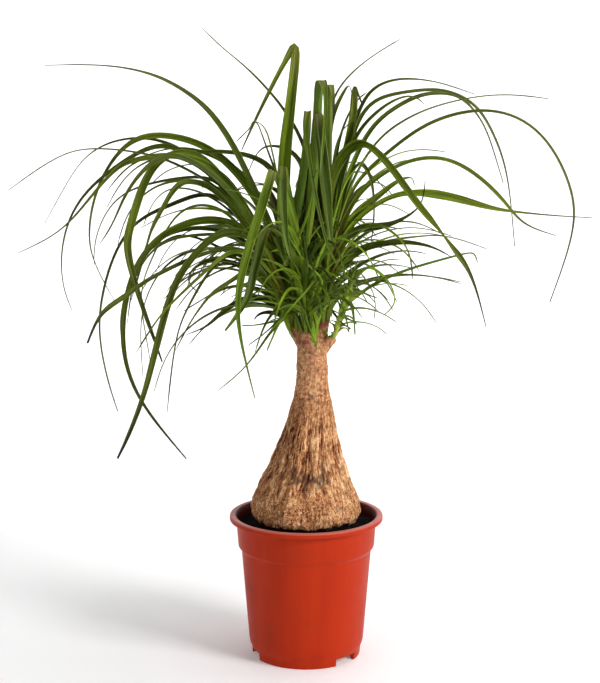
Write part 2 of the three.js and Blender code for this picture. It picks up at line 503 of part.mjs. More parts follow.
// A rule leaf leaves the core at its own height and bends over evenly from its first slope to its last
function fannedLeaves({ head, count, seed, fan, long, wide, slope }) {
  const draw = numbersFrom(seed);
  const seat = vector(HEADS[head].seat);
  const top = vector(HEADS[head].top);
  return Array.from({ length: count }, (_, index) => {
    const outer = (index + 0.5) / count;
    const compass = lerp(...fan, (index * GOLDEN_SHARE + SCATTER.compass * draw()) % 1) * degree;
    const stride = lerp(...long, draw()) / (FAN_POINTS - 1);
    const first = lerp(slope[0], slope[1], outer) + SCATTER.slope * (draw() - 0.5);
    const final = lerp(slope[2], slope[3], draw());
    const bend = lerp(...SCATTER.bend, draw());
    const sway = SCATTER.sway * (draw() - 0.5);
    const width = lerp(...wide, draw());
    const twist = SCATTER.twist * (draw() - 0.5);
    const line = [top.clone().lerp(seat, lerp(...SCATTER.roots, outer))];
    for (let step = 1; step < FAN_POINTS; step += 1) {
      const share = (step - 0.5) / (FAN_POINTS - 1);
      const rise = lerp(first, final, share ** bend) * degree;
      const heading = compass + sway * share;
      const onwards = new THREE.Vector3(
        Math.cos(rise) * Math.cos(heading),
        Math.cos(rise) * Math.sin(heading),
        Math.sin(rise),
      );
      line.push(line.at(-1).clone().addScaledVector(onwards, stride));
    }
    return { width, line, turns: [twist * SCATTER.rootTwist, twist] };
  });
}

// A blade has the widths it is given, or else it is slim where it leaves the core, soon full, and narrows to a
// thread-like tip
function bladeWidth(width, share) {
  if (Array.isArray(width)) {
    return Math.max(spread(width, share), NARROWEST_BLADE);
  }
  const rooting = lerp(BLADE.rootWidth, 1, Math.min(share / BLADE.fullFrom, 1));
  return Math.max(width * rooting * (1 - share) ** BLADE.taper, NARROWEST_BLADE);
}

// A three-sided blade: a flat upper face and a keel below, one ring at each point of its line
function blade({ width, line, turns }) {
  const last = line.length - 1;
  const heading = line[last].clone().sub(line[0]).setZ(0).normalize();
  const level = new THREE.Vector3(-heading.y, heading.x, 0);
  const points = line.slice(0, last).flatMap((point, index) => {
    const share = index / last;
    const tangent = line[index + 1].clone().sub(line[Math.max(index - 1, 0)]).normalize();
    const side = level.clone().addScaledVector(tangent, -level.dot(tangent)).normalize();
    side.applyAxisAngle(tangent, spread(turns, share) * degree);
    const face = tangent.clone().cross(side);
    const half = bladeWidth(width, share) / 2;
    const thickness = BLADE_THICKNESS * (1 - BLADE.thinning * share);
    const middle = point.clone().addScaledVector(face, thickness * BLADE.aboveLine);
    return [
      middle.clone().addScaledVector(side, half),
      middle.clone().addScaledVector(side, -half),
      middle.clone().addScaledVector(face, -thickness),
    ];
  });
  const indices = [0, 2, 1];
  for (let corner = 0; corner < points.length; corner += 1) {
    const next = corner % 3 === 2 ? corner - 2 : corner + 1;
    if (corner < points.length - 3) {
      indices.push(corner, next, next + 3, corner, next + 3, corner + 3);
    } else {
      indices.push(corner, next, points.length);
    }
  }
  return pointsToSolid([...points, line[last]], indices);
}

// A head: its core and leaves in one body. A hollow that crossing leaves seal is filled.
function makeHead(head) {
  const fans = FANS.filter((fan) => fan.head === head);
  const leaves = [...LEAVES[head].map(drawnLeaf), ...fans.flatMap(fannedLeaves)];
  const whole = leaves.reduce((solid, leaf) => solid.add(blade(leaf)), core(HEADS[head]));
  return whole.decompose().reduce((largest, piece) => (piece.volume() > largest.volume() ? piece : largest));
}

const palm = new THREE.Group();
palm.add(namedMesh('pot', makePot(), 0xbe3a1c, 0.4));
palm.add(namedMesh('soil', makeSoil(), 0x17120f, 0.95));
palm.add(namedMesh('trunk', makeTrunk(), 0xa9744a, 0.9));
palm.add(namedMesh('head_left', makeHead('left'), 0x4a6a1c, 0.55));
palm.add(namedMesh('head_front', makeHead('front'), 0x54761f, 0.55));
palm.add(namedMesh('head_right', makeHead('right'), 0x4f7020, 0.55));
palm.add(namedMesh('head_back', makeHead('back'), 0x3f5c18, 0.55));
palm.add(namedMesh('side_shoot', makeHead('side'), 0x7c9a2c, 0.55));

export default palm;
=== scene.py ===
# A potted ponytail palm: the finish of its pot, peat, trunk and leaves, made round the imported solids
import math

import bpy
import numpy as np
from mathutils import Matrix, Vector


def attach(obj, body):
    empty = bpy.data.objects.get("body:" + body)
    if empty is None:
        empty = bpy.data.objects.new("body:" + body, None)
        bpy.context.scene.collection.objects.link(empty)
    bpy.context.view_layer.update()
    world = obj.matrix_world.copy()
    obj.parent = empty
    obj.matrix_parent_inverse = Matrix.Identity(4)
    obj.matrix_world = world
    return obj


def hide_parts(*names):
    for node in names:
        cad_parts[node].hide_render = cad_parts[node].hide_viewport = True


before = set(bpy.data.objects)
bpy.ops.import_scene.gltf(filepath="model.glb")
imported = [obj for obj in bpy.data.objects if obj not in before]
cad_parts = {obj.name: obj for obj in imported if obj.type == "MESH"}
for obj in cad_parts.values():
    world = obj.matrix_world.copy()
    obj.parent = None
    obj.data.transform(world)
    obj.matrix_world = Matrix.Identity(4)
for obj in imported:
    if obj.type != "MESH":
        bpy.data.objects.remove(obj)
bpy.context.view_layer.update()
mm = 0.001   # lengths below are in millimetres, and the meshes are in metres


# Colours, nodes and materials

# an sRGB hex colour as linear red, green, blue and alpha
def linear(hexColour):
    parts = [int(hexColour[i:i + 2], 16) / 255 for i in (1, 3, 5)]
    return [p / 12.92 if p <= 0.04045 else ((p + 0.055) / 1.055) ** 2.4 for p in parts] + [1.0]


# adds one node: settings are its sockets (by name or number, a colour as hex) or its own properties, and
# links feed its sockets. It gives the output of that name, or else the first one in use.
def addNode(tree, kind, settings=None, links=None, output=None):
    node = tree.nodes.new("ShaderNode" + kind)
    for key, value in (settings or {}).items():
        if key == "stops":
            ramp = node.color_ramp
            while len(ramp.elements) < len(value):
                ramp.elements.new(1.0)
            for element, (place, colour) in zip(ramp.elements, value):
                element.position = place
                element.color = linear(colour)
        elif isinstance(key, int) or key in node.inputs:
            node.inputs[key].default_value = linear(value) if isinstance(value, str) else value
        else:
            setattr(node, key, value)
    for key, source in (links or {}).items():
        tree.links.new(source, node.inputs[key])
    return node.outputs[output] if output else next((each for each in node.outputs if each.enabled), None)


# a material with one shader: its recipe adds the patterns and says what feeds the shader's sockets
def addMaterial(name, s, recipe=None):
    material = bpy.data.materials.new(name)
    material.use_nodes = True
    tree = material.node_tree
    tree.nodes.clear()
    shader = addNode(tree, "BsdfPrincipled", s["shader"], recipe(tree, s) if recipe else None)
    addNode(tree, "OutputMaterial", links={"Surface": shader})
    return material


# Noise and shapes, all on whole arrays

# a repeatable random value from 0 to 1 for each whole-number cell: the cell's numbers are mixed by
# multiplying, adding and shifting their bits
def cellValue(cells, seed):
    x, y, z = np.moveaxis(cells.astype(np.int64), -1, 0)
    h = (x * 374761393 + y * 668265263 + z * 2147483647 + seed * 1274126177) & 0xffffffff
    h = ((h ^ (h >> 13)) * 1103515245) & 0xffffffff
    h = ((h ^ (h >> 16)) * 2654435761) & 0xffffffff
    return ((h ^ (h >> 15)) & 0xffffff) / 0xffffff


# smooth noise from -1 to 1: the values at a cell's eight corners, blended by 3t^2 - 2t^3 along each axis
def smoothNoise(places, seed):
    low = np.floor(places)
    t = smoothStep(places - low, 0, 1)
    total = 0
    for upper in np.ndindex(2, 2, 2):
        corner = np.array(upper[::-1])
        total = total + np.where(corner, t, 1 - t).prod(-1) * cellValue(low + corner, seed)
    return 2 * total - 1


# smooth noise in layers, each twice as fine and half as strong as the one before
def layeredNoise(places, seed, layers):
    total = sum(smoothNoise(places * 2 ** k, seed + k) / 2 ** k for k in range(layers))
    return total / (2 - 2 ** (1 - layers))


# the distance to the nearest of the random points that stand one in each cell
def cellDistances(places, seed):
    low = np.floor(places)
    nearest = np.full(places.shape[:-1], 9.0)
    for step in np.ndindex(3, 3, 3):
        cell = low + np.array(step) - 1
        point = cell + np.stack([cellValue(cell, seed + k) for k in range(3)], -1)
        nearest = np.minimum(nearest, np.linalg.norm(places - point, axis=-1))
    return nearest


# 0 below low, 1 above high, and 3t^2 - 2t^3 between
def smoothStep(value, low, high):
    t = np.clip((value - low) / (high - low), 0, 1)
    return t * t * (3 - 2 * t)


# a value taken from an evenly spread list
def spread(values, share):
    return np.interp(np.asarray(share) * (len(values) - 1), np.arange(len(values)), values)


# so many angles, evenly round
def anglesRound(count):
    return np.arange(count) / count * 2 * math.pi


# points on upright rings: radius * cos(angle), radius * sin(angle) and height
def onRings(radius, angle, height):
    return np.stack(np.broadcast_arrays(radius * np.cos(angle), radius * np.sin(angle), height), -1)


# directions brought to a length of one
def unit(way):
    return way / np.linalg.norm(way, axis=-1, keepdims=True)


# two directions, square to a line and to each other
def squareTo(along):
    across = unit(np.cross(along, [0, 1, 0]))
    return across, np.cross(along, across)


# points on rings square to the line from start to end, at shares of it
def ringsAlong(start, end, share, radius, angle):
    across, away = squareTo(unit(end - start))
    out = np.cos(angle)[:, None] * across + np.sin(angle)[:, None] * away
    return start + share[:, None, None] * (end - start) + radius[..., None] * out


# the faces of a skin of rings that close round, with one pole before them and one after: quads between
# neighbouring rings and a fan of triangles at each pole, all facing out
def skinFaces(rings, sides):
    side = np.arange(sides)
    after = (side + 1) % sides
    ring = np.arange(rings - 1)[:, None] * sides
    quads = np.stack([ring + side, ring + after, ring + after + sides, ring + side + sides], -1)
    start = np.stack([np.full(sides, -1), after, side], -1)
    end = np.stack([np.full(sides, rings * sides), ring[-1] + sides + side, ring[-1] + sides + after], -1)
    return (1 + quads.reshape(-1, 4)).tolist() + (1 + np.vstack([start, end])).tolist()


# a closed skin, as its points, faces and fields: rings between two poles, and for each field of values its
# value at the first pole, on the rings and at the last pole
def closedSkin(start, rings, end, fields):
    count, sides = rings.shape[:2]
    values = {field: np.concatenate([[first], np.broadcast_to(middle, (count, sides)).ravel(), [last]])
              for field, (first, middle, last) in fields.items()}
    return np.vstack([start, rings.reshape(-1, 3), end]), skinFaces(count, sides), values


# several skins as one: all their points, faces and fields of values
def joinSkins(skins):
    points, faces, fields = zip(*skins)
    firsts = np.cumsum([0] + [len(each) for each in points]).tolist()
    return (np.vstack(points),
            [[first + corner for corner in face] for first, own in zip(firsts, faces) for face in own],
            {field: np.concatenate([own[field] for own in fields]) for field in fields[0]})


# a smooth mesh in its place, with its fields of values
def addMesh(name, material, points, faces, fields=None):
    mesh = bpy.data.meshes.new(name)
    mesh.from_pydata((points * mm).tolist(), [], faces)
    mesh.polygons.foreach_set("use_smooth", np.ones(len(faces), bool))
    for field, values in (fields or {}).items():
        mesh.attributes.new(field, "FLOAT", "POINT").data.foreach_set("value", values.astype(np.float32))
    if material:
        mesh.materials.append(material)
    shape = bpy.data.objects.new(name, mesh)
    bpy.context.scene.collection.objects.link(shape)
    return shape


# a piece of the plant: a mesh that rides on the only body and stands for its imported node
def addPiece(name, slot, node, material, points, faces, fields=None):
    piece = addMesh(name, material, points, faces, fields)
    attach(piece, "root")
    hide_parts(node)
    return piece


# Camera, floor and light

# the eye of the leaf drawings, level with the crown's middle and looking down at the pot
cameraSettings = {
    "distance": 1500, "height": 553, "pitch": 9.14, "focalPixels": 1575,
    "imageWidth": 600, "imageHeight": 683, "axisPixel": 306.2, "sensor": 36,
}


def addCamera(s):
    data = bpy.data.cameras.new("camera")
    data.sensor_width = s["sensor"]
    data.lens = s["focalPixels"] / s["imageHeight"] * s["sensor"]
    data.shift_x = (s["imageWidth"] / 2 - s["axisPixel"]) / s["imageHeight"]
    camera = bpy.data.objects.new("camera", data)
    camera.location = (0, -s["distance"] * mm, s["height"] * mm)
    camera.rotation_euler = (math.radians(90 - s["pitch"]), 0, 0)
    bpy.context.scene.collection.objects.link(camera)
    bpy.context.scene.camera = camera


# the floor is a plain pale dish of painted board: flat under the plant, then a quarter circle up to a wall
stageSettings = {
    "flat": 3400, "cove": 1300, "coveSteps": 24, "wall": 2600, "sides": 96,
    "shader": {"Base Color": "#fbfbfb", "Roughness": 0.9, "Emission Color": "#fbfbfb",
               "Emission Strength": 0.13},
}


def addStage(s):
    turn = np.linspace(0, math.pi / 2, s["coveSteps"])
    reach = np.concatenate([[s["flat"] / 2], s["flat"] + s["cove"] * np.sin(turn), [s["flat"] + s["cove"]]])
    height = np.concatenate([[0], s["cove"] * (1 - np.cos(turn)), [s["cove"] + s["wall"]]])
    rings = onRings(reach[:, None], anglesRound(s["sides"]), height[:, None])
    # a skin turned over, so that it faces up and in, and open at the wall's top
    faces = [face[::-1] for face in skinFaces(len(reach), s["sides"])[:-s["sides"]]]
    points = np.vstack([[0, 0, 0], rings.reshape(-1, 3)])
    addMesh("stage", addMaterial("painted backdrop", s), points, faces)


# soft boxes: where they stand (mm), what they face, their side (mm) and power (W). The first is the key
# light, from the front right; then a weak fill, a top light and one that brightens the backdrop.
lightSettings = {
    "boxes": [
        ((1750, -1250, 1300), (0, 0, 300), 800, 45), ((-1900, -900, 1100), (0, 0, 350), 1200, 0.2),
        ((450, 150, 2300), (0, 0, 300), 1300, 15), ((0, 1800, 2600), (0, 4600, 700), 1800, 95),
    ],
    "sky": "#ffffff", "skyStrength": 0.06,
}


def addLights(s):
    for index, (place, aim, side, power) in enumerate(s["boxes"]):
        data = bpy.data.lights.new(f"soft_box_{index + 1}", "AREA")
        data.size = side * mm
        data.energy = power
        box = bpy.data.objects.new(data.name, data)
        box.location = np.array(place) * mm
        towards = Vector(np.array(aim) * mm) - box.location
        box.rotation_euler = towards.to_track_quat("-Z", "Y").to_euler()
        bpy.context.scene.collection.objects.link(box)
    world = bpy.data.worlds.new("studio")
    world.use_nodes = True
    sky = world.node_tree.nodes["Background"]
    sky.inputs["Color"].default_value = linear(s["sky"])
    sky.inputs["Strength"].default_value = s["skyStrength"]
    bpy.context.scene.world = world
    bpy.context.scene.view_settings.view_transform = "Standard"


addCamera(cameraSettings)
addStage(stageSettings)
addLights(lightSettings)
print("camera, floor and light done")


# The pot

# one thin injection-moulded wall: its corners as radius, height and rounding, from the floor's underside out,
# up the outside, over the lip and down the inside; the foot has three notches and the floor eight holes
potSettings = {
    "corners": [
        (46.6, 7.6, 0.5), (50.3, 0, 0.5), (53.1, 0, 0.8), (53.9, 8, 1.5), (55.7, 12.5, 2), (56.5, 17, 2),
        (63.6, 106, 1.2), (66.7, 110, 1.2), (68.6, 136, 1.1), (75, 136, 0.9), (75, 141, 2), (69, 141, 1.6),
        (67.2, 136, 3), (65.3, 111.4, 1.2), (62.2, 107.4, 1.2), (55.1, 17, 4), (48, 9, 3),
    ],
    "roundSteps": 5, "roundMost": 0.45, "wallStep": 6, "sides": 288, "sharpFrom": 50,
    "notchCentres": (47, 167, 287), "notchAngle": 28, "notchHeight": 7.5, "notchEdge": 0.25, "pressed": 0.05,
    "drains": 8, "drainRadius": 4.5, "drainCircle": 34, "drainSides": 24, "drainPast": 4, "floor": (7.6, 9),
}


# a line through corners, each rounded by a curve that leaves and joins the sides at the rounding's distance,
# or at the most of a side that it may take, and with the long sides cut into steps
def roundedLine(s):
    corners = np.array(s["corners"])
    line = [corners[0, :2]]
    for before, corner, after in zip(corners[:-2], corners[1:-1], corners[2:]):
        ends = []
        for other in (before, after):
            way = other[:2] - corner[:2]
            length = np.linalg.norm(way)
            ends.append(corner[:2] + way / length * min(corner[2], length * s["roundMost"]))
        t = np.linspace(0, 1, s["roundSteps"])[:, None]
        curve = (1 - t) ** 2 * ends[0] + 2 * t * (1 - t) * corner[:2] + t ** 2 * ends[1]
        gap = curve[0] - line[-1]
        steps = max(int(np.linalg.norm(gap) // s["wallStep"]), 1)
        line += [line[-1] + gap * k / steps for k in range(1, steps)] + list(curve)
    line.append(corners[-1, :2])
    return np.array(line)


def addPot(s, material):
    line = roundedLine(s)
    half = s["notchAngle"] / 2
    edges = [centre - 90 + sign * (half + shift) for centre in s["notchCentres"] for sign in (-1, 1)
             for shift in (0, s["notchEdge"])]
    angle = np.unique(np.concatenate([np.arange(s["sides"]) / s["sides"] * 360, np.array(edges) % 360]))
    # in a notch the foot's rings are pressed up against its ceiling
    away = np.min([np.abs((angle - centre + 90 + 180) % 360 - 180) for centre in s["notchCentres"]], 0)
    height = np.repeat(line[:, 1:], len(angle), 1)
    low = (away < half + s["notchEdge"] / 2) & (height < s["notchHeight"])
    height = np.where(low, s["notchHeight"] + (height - s["notchHeight"]) * s["pressed"], height)
    rings = onRings(line[:, :1], np.radians(angle), height)
    under, over = s["floor"]
    pot = addPiece("moulded_pot", "pot", "pot", material, *closedSkin([0, 0, under], rings, [0, 0, over], {}))
    # the drain holes are cut by upright cylinders
    levels = (under - s["drainPast"], over + s["drainPast"])
    walls = onRings(s["drainRadius"], anglesRound(s["drainSides"]), np.array(levels)[:, None])
    points, faces, none = closedSkin([0, 0, levels[0]], walls, [0, 0, levels[1]], {})
    centres = onRings(s["drainCircle"], anglesRound(s["drains"]), 0)
    cutter = addMesh("drains", None, *joinSkins([(centre + points, faces, none) for centre in centres]))
    cut = pot.modifiers.new("drains", "BOOLEAN")
    cut.object = cutter
    cut.solver = "EXACT"
    whole = bpy.data.meshes.new_from_object(pot.evaluated_get(bpy.context.evaluated_depsgraph_get()))
    pot.modifiers.clear()
    pot.data = whole
    bpy.data.objects.remove(cutter)
    whole.polygons.foreach_set("use_smooth", np.ones(len(whole.polygons), bool))
    whole.set_sharp_from_angle(angle=math.radians(s["sharpFrom"]))


# terracotta-coloured polypropylene, injection moulded: a satin skin with faint flow marks down the wall, a
# fine mould texture, a dulling film of peat dust in patches, and painted shade, nearly black, on the wall
# inside
potFinish = {
    "shader": {"IOR": 1.49, "Specular IOR Level": 0.12},
    "tones": [(0.3, "#a32605"), (0.5, "#ad2a05"), (0.75, "#b22e07")],
    "flow": {"Scale": 60, "Detail": 4}, "flowDrawn": (1, 1, 0.06),
    "mottle": {"Scale": 35, "Detail": 5, "Roughness": 0.6},
    "grain": {"Scale": 1400, "Detail": 2}, "bump": {"Strength": 0.12, "Distance": 0.15 * mm},
    "gloss": {"From Min": 0.3, "From Max": 0.7, "To Min": 0.38, "To Max": 0.52},
    "dust": "#70321f", "dusty": {"From Min": 0.56, "From Max": 0.8, "To Max": 0.35},
    # the lip's top, tinted pale pink as a painted sheen highlight, between these heights
    "paintedSheen": "#cf8a80", "paintedSheenShare": {"From Min": 139.2 * mm, "From Max": 141.2 * mm, "To Max": 0.6},
    # painted shade, nearly black, on what faces the axis: its distance from it times the cosine of its normal
    # to the way out is below zero
    "stain": "#2b100b", "stained": {"From Min": -10 * mm, "From Max": -50 * mm, "To Max": 0.8},
}


def potRecipe(tree, s):
    place = addNode(tree, "TexCoord", output="Object")
    flow = addNode(tree, "Mapping", {"Scale": s["flowDrawn"]}, {"Vector": place})
    streaks = addNode(tree, "TexNoise", s["flow"], {"Vector": flow})
    mottle = addNode(tree, "TexNoise", s["mottle"], {"Vector": place})
    grain = addNode(tree, "TexNoise", s["grain"], {"Vector": place})
    height = addNode(tree, "SeparateXYZ", links={"Vector": place}, output="Z")
    level = addNode(tree, "VectorMath", {"operation": "MULTIPLY", 1: (1, 1, 0)}, {0: place})
    normal = addNode(tree, "NewGeometry", output="Normal")
    outward = addNode(tree, "VectorMath", {"operation": "DOT_PRODUCT"}, {0: level, 1: normal})
    colour = addNode(tree, "ValToRGB", {"stops": s["tones"]}, {"Fac": streaks})
    # the lip's pale pink tint is a painted highlight
    for tint, share, source in (("dust", "dusty", mottle), ("paintedSheen", "paintedSheenShare", height),
                                # the stain here is painted shade that darkens the wall inside
                                ("stain", "stained", outward)):
        factor = addNode(tree, "MapRange", s[share], {"Value": source})
        colour = addNode(tree, "Mix", {"data_type": "RGBA", 7: s[tint]}, {0: factor, 6: colour})
    gloss = addNode(tree, "MapRange", s["gloss"], {"Value": mottle})
    bump = addNode(tree, "Bump", s["bump"], {"Height": grain})
    return {"Base Color": colour, "Roughness": gloss, "Normal": bump}


addPot(potSettings, addMaterial("injection moulded polypropylene", potFinish, potRecipe))
print("pot done")


# The trunk

# its outline from the buried underside to the top of the neck: height, radius and sideways lean
trunkOutline = [
    (92, 14, 0), (100, 28.5, 0), (112, 38, 0), (124, 42, 0), (133, 45.5, -0.5), (139, 51.9, -0.6),
    (143, 53.2, -0.7), (150, 52, -0.8), (157, 49.9, -0.8), (164.5, 47, -0.8), (171, 44, -0.8),
    (178.5, 40.5, -0.6), (185, 37, 0.6), (192.5, 34.2, 1.6), (200, 31.8, 1.8), (207.5, 29.4, 2.4),
    (215, 27.3, 3), (223, 25.4, 3.8), (231, 23.4, 4.7), (239, 21.6, 5.4), (248, 19.6, 5.6), (258, 17.8, 5.8),
    (270, 16.2, 5.7), (282, 14.9, 5.8), (294, 14.2, 5.6), (304, 14.2, 5.4), (312, 13.5, 5.8), (317, 10, 6),
]

# waves of relief round it, as in the solid: how many, how high, where they start and how they drift or wind.
# Every smooth noise below is its strength, its size (one, or along X, Y and Z) and its seed.
trunkSettings = {
    "underside": 89, "firstRing": 3, "crown": 320, "sides": 400, "heightStep": 0.94, "buriedStep": 4,
    "buried": 128, "emerges": 8, "stubRings": 24, "stubSides": 52,
    "stubRounded": (0.85, 1.02), "stubLeast": 0.2,
    "baseWaves": [(9, 0.9, 0, 0.5), (13, 0.63, 1.3, -1), (3, 0.9, 0.6, 0), (5, 0.7, -1.1, 0)],
    "neckWaves": [(4, 0.35, 9), (2, 0.25, 5.5)],
    "driftPitch": 23, "fadesIn": (120, 150), "fadesOut": (225, 265),
    # where the foot ends and the neck begins, both raggedly
    "footEnds": (158, 180), "footWander": (5, 12, 3), "neckFrom": (224, 262), "neckWander": (6, 10, 4),
    # patterns that run with the slope are drawn on an upright drum of this radius, wandering a little: their
    # size across, how many times longer they are upwards, and their seed
    "drum": 34, "drumWander": (1.6, 14, 5), "ridges": (5.5, 9, 21), "strands": (1.5, 6, 31),
    "fissures": (1.3, 11, 43), "cracked": (0.22, 0.5), "footCracks": 0.3,
    "crackedAreas": (1, 20, 44), "crackedFrom": (-0.6, 0.2),
    # patterns in the bark's own places; the grains are cells, with a size and a seed
    "flecks": (1, (1.2, 1.2, 1.8), 35), "grains": ((1.4, 1.4, 2.24), 11), "lumps": (1, 5.5, 57),
    "crackle": (1, (5, 5, 1.7), 45), "crackleWidth": 0.4,
    "pits": (1, (1.9, 1.9, 1.3), 47), "pitted": (0.42, 0.75), "knobs": (1, 4.2, 49), "knobsEnd": (139, 150),
    # how far each pattern stands out (mm) in the foot, the middle and the neck, and how much it lightens them
    "relief": {
        "ridges": (0, 1.5, 0), "strands": (0.225, 0.5, 0.1), "flecks": (0.5, 0.5, 0.3),
        "grains": (0.45, 0.18, 0), "fissures": (-0.36, -0.9, -0.9), "lumps": (1, 1, 0.4),
        "crackle": (0, 0, 0.16), "pits": (0, 0, -0.5), "knobs": (1.6, 0, 0),
    },
    "tones": {
        "plain": (0.5, 0.5, 0.43), "strands": (0.18, 0.22, 0.07), "flecks": (0.16, 0.16, 0.16),
        "ridges": (0, 0.24, 0), "grains": (0.16, 0, 0), "fissures": (-0.18, -0.45, -0.45),
        "crackle": (0, 0, 0.1), "pits": (0, 0, -0.45),
    },
    "toneSwells": (0.08, 13, 53), "grainy": (0.5, 1), "stranded": (0.35, 1),
    # a red blush on the right stub's top and on the front one: its middle and its reach
    "blushes": [((16, -4, 331), 7), ((-2, -14, 311), 6)], "blushReach": 1.1, "blushEdge": 0.5,
    "blushSwells": (0.3, 1.6, 59),
    # the underside turns nearly black, up to a ragged line
    "soiled": (137.8, 139.4), "blackenedBelowKnobs": 2.08, "blackenedBelowSwells": (2.6, 3.4, 51),
    # a side darkened by painted shade, and grey-brown stains: degrees from the front, height, half width,
    # half height and depth
    "paintedShadeSide": (-68, 215, 62, 62, 0.11), "paintedShadeSideStrands": 0.3, "paintedShadeSideEdge": 0.8,
    "stains": [(-16, 188, 15, 13, 1), (25, 184, 17, 11, 1), (4, 184, 24, 7, 0.75), (-46, 186, 20, 7, 0.5),
               (70, 189, 20, 8, 0.6), (118, 186, 24, 9, 0.8),
               (165, 185, 22, 8, 0.7), (-120, 187, 26, 9, 0.8)],
    "stainSpread": 0.15, "stainStrands": 0.5, "stainSwells": [(0.5, 3, 55), (0.5, 7, 56)],
    "stainEdge": (0.1, 0.95),
}

# each head: where its stub leaves the neck, where the stub ends, where the leafy core ends and their radii
heads = {
    "left": {"start": (3, 0, 304), "seat": (-13, 0, 327), "top": (-20, -1, 392), "radii": (9, 6.6, 7)},
    "front": {"start": (5, -3, 304), "seat": (1, -11, 325), "top": (-3, -17, 392), "radii": (8, 6.6, 7)},
    "right": {"start": (10, 2, 306), "seat": (17, 3, 333), "top": (22, 4, 398), "radii": (8, 6, 7)},
    "back": {"start": (6, 4, 304), "seat": (5, 15, 326), "top": (4, 27, 396), "radii": (8, 6.6, 7)},
    "side": {"start": (12, -3, 301), "seat": (27, -6, 317), "top": (44, -9, 374), "radii": (6.5, 4, 2.6),
             "knots": (8, 0.4)},   # the side shoot's joints: how many, and how much slimmer it is between them
}


def barkRelief(angle, height, s):
    swell = smoothStep(height, *s["fadesIn"]) * (1 - smoothStep(height, *s["fadesOut"]))
    sideways = np.sin(height / s["driftPitch"])
    base = sum(relief * np.sin(count * angle + start + drift * sideways)
               for count, relief, start, drift in s["baseWaves"])
    neck = sum(relief * np.sin(count * angle + height / pitch) for count, relief, pitch in s["neckWaves"])
    return swell * base + (1 - swell) * neck


# the trunk's radius and lean at a height: the outline's rings joined by straight lines, as in the solid
def trunkAt(height):
    rows = np.array(trunkOutline)
    return np.interp(height, rows[:, 0], rows[:, 1]), np.interp(height, rows[:, 0], rows[:, 2])


# smooth noise of a strength, a size and a seed
def swells(places, strength, size, seed):
    return strength * smoothNoise(places / np.array(size), seed)


# noise in two layers on the upright drum
def drumNoise(drum, height, size, rise, seed):
    return layeredNoise(np.concatenate([drum / size, height[..., None] / (size * rise)], -1), seed, 2)


# patterns added up, each times its shares in the foot, the middle and the neck
def addedUp(patterns, shares, zones):
    return sum(patterns[name] * sum(share * zone for share, zone in zip(own, zones))
               for name, own in shares.items())


# an oval patch on the bark: 1 at its middle and 0 at its edge, falling evenly
def patchAt(fromFront, height, middleTurn, middleHeight, halfTurn, halfHeight):
    off = np.abs((fromFront - middleTurn + 180) % 360 - 180) / halfTurn
    return 1 - np.hypot(off, (height - middleHeight) / halfHeight)


# bark: how far it stands out (mm), its tone (0 dark to 1 light), how grainy, stranded, stained and blackened
# below it is (0 to 1), and its place on the drum that upright patterns are drawn on. The foot is a mass of
# small cork grains under fine strands, the middle has upright ridges, strands and fissures, and the neck has
# crackle and pits.
def barkDetail(places, height, s):
    foot = 1 - smoothStep(height + swells(places, *s["footWander"]), *s["footEnds"])
    neck = smoothStep(height + swells(places, *s["neckWander"]), *s["neckFrom"])
    middle = (1 - foot) * (1 - neck)
    turn = np.arctan2(places[..., 1], places[..., 0])
    drum = s["drum"] * np.stack([np.cos(turn), np.sin(turn)], -1)
    wandering = drum + swells(places, *s["drumWander"])[..., None]
    strands = drumNoise(wandering, height, *s["strands"])
    knobs = (1 - smoothStep(height, *s["knobsEnd"])) * swells(places, *s["knobs"])
    cracks = smoothStep(drumNoise(wandering, height, *s["fissures"]), *s["cracked"])
    cracks = cracks * (middle + s["footCracks"] * foot)
    patterns = {
        "plain": 1, "strands": strands, "knobs": knobs,
        "ridges": drumNoise(wandering, height, *s["ridges"]),
        "flecks": swells(places, *s["flecks"]),
        "grains": 1 - 2 * cellDistances(places / np.array(s["grains"][0]), s["grains"][1]),
        "fissures": cracks * smoothStep(swells(places, *s["crackedAreas"]), *s["crackedFrom"]),
        "lumps": swells(places, *s["lumps"]),
        "crackle": 2 * smoothStep(np.abs(swells(places, *s["crackle"])), 0, s["crackleWidth"]) - 1,
        "pits": smoothStep(swells(places, *s["pits"]), *s["pitted"]) * neck,
    }
    stands, tone = (addedUp(patterns, s[sort], (foot, middle, neck)) for sort in ("relief", "tones"))
    tone += swells(places, *s["toneSwells"])
    fromFront = np.degrees(turn) + 90
    # painted shade: the tone is lowered over a patch on the left side
    *oval, depth = s["paintedShadeSide"]
    shadedSide = patchAt(fromFront, height, *oval) + s["paintedShadeSideStrands"] * strands
    tone -= depth * smoothStep(shadedSide, 0, s["paintedShadeSideEdge"])
    stain = np.zeros(height.shape)
    for *oval, depth in s["stains"]:
        stain = np.maximum(stain, depth * (s["stainSpread"] + patchAt(fromFront, height, *oval)))
    mottle = sum(swells(places, *each) for each in s["stainSwells"])
    stain = smoothStep(stain + s["stainStrands"] * strands + mottle, *s["stainEdge"])
    ragged = height + s["blackenedBelowKnobs"] * knobs + swells(places, *s["blackenedBelowSwells"])
    return stands, {"tone": tone, "stain": stain, "soiled": 1 - smoothStep(ragged, *s["soiled"]),
                    "grainy": spread(s["grainy"], foot), "stranded": spread(s["stranded"], middle),
                    "drumX": drum[..., 0] * mm, "drumY": drum[..., 1] * mm}


# the red of the young bark at two places on the stubs: 1 at their middle, fading raggedly over their reach
def blushAt(places, s):
    reach = [np.linalg.norm(places - np.array(middle), axis=-1) / size for middle, size in s["blushes"]]
    ragged = s["blushReach"] - np.min(reach, 0) + swells(places, *s["blushSwells"])
    return smoothStep(ragged, 0, s["blushEdge"])


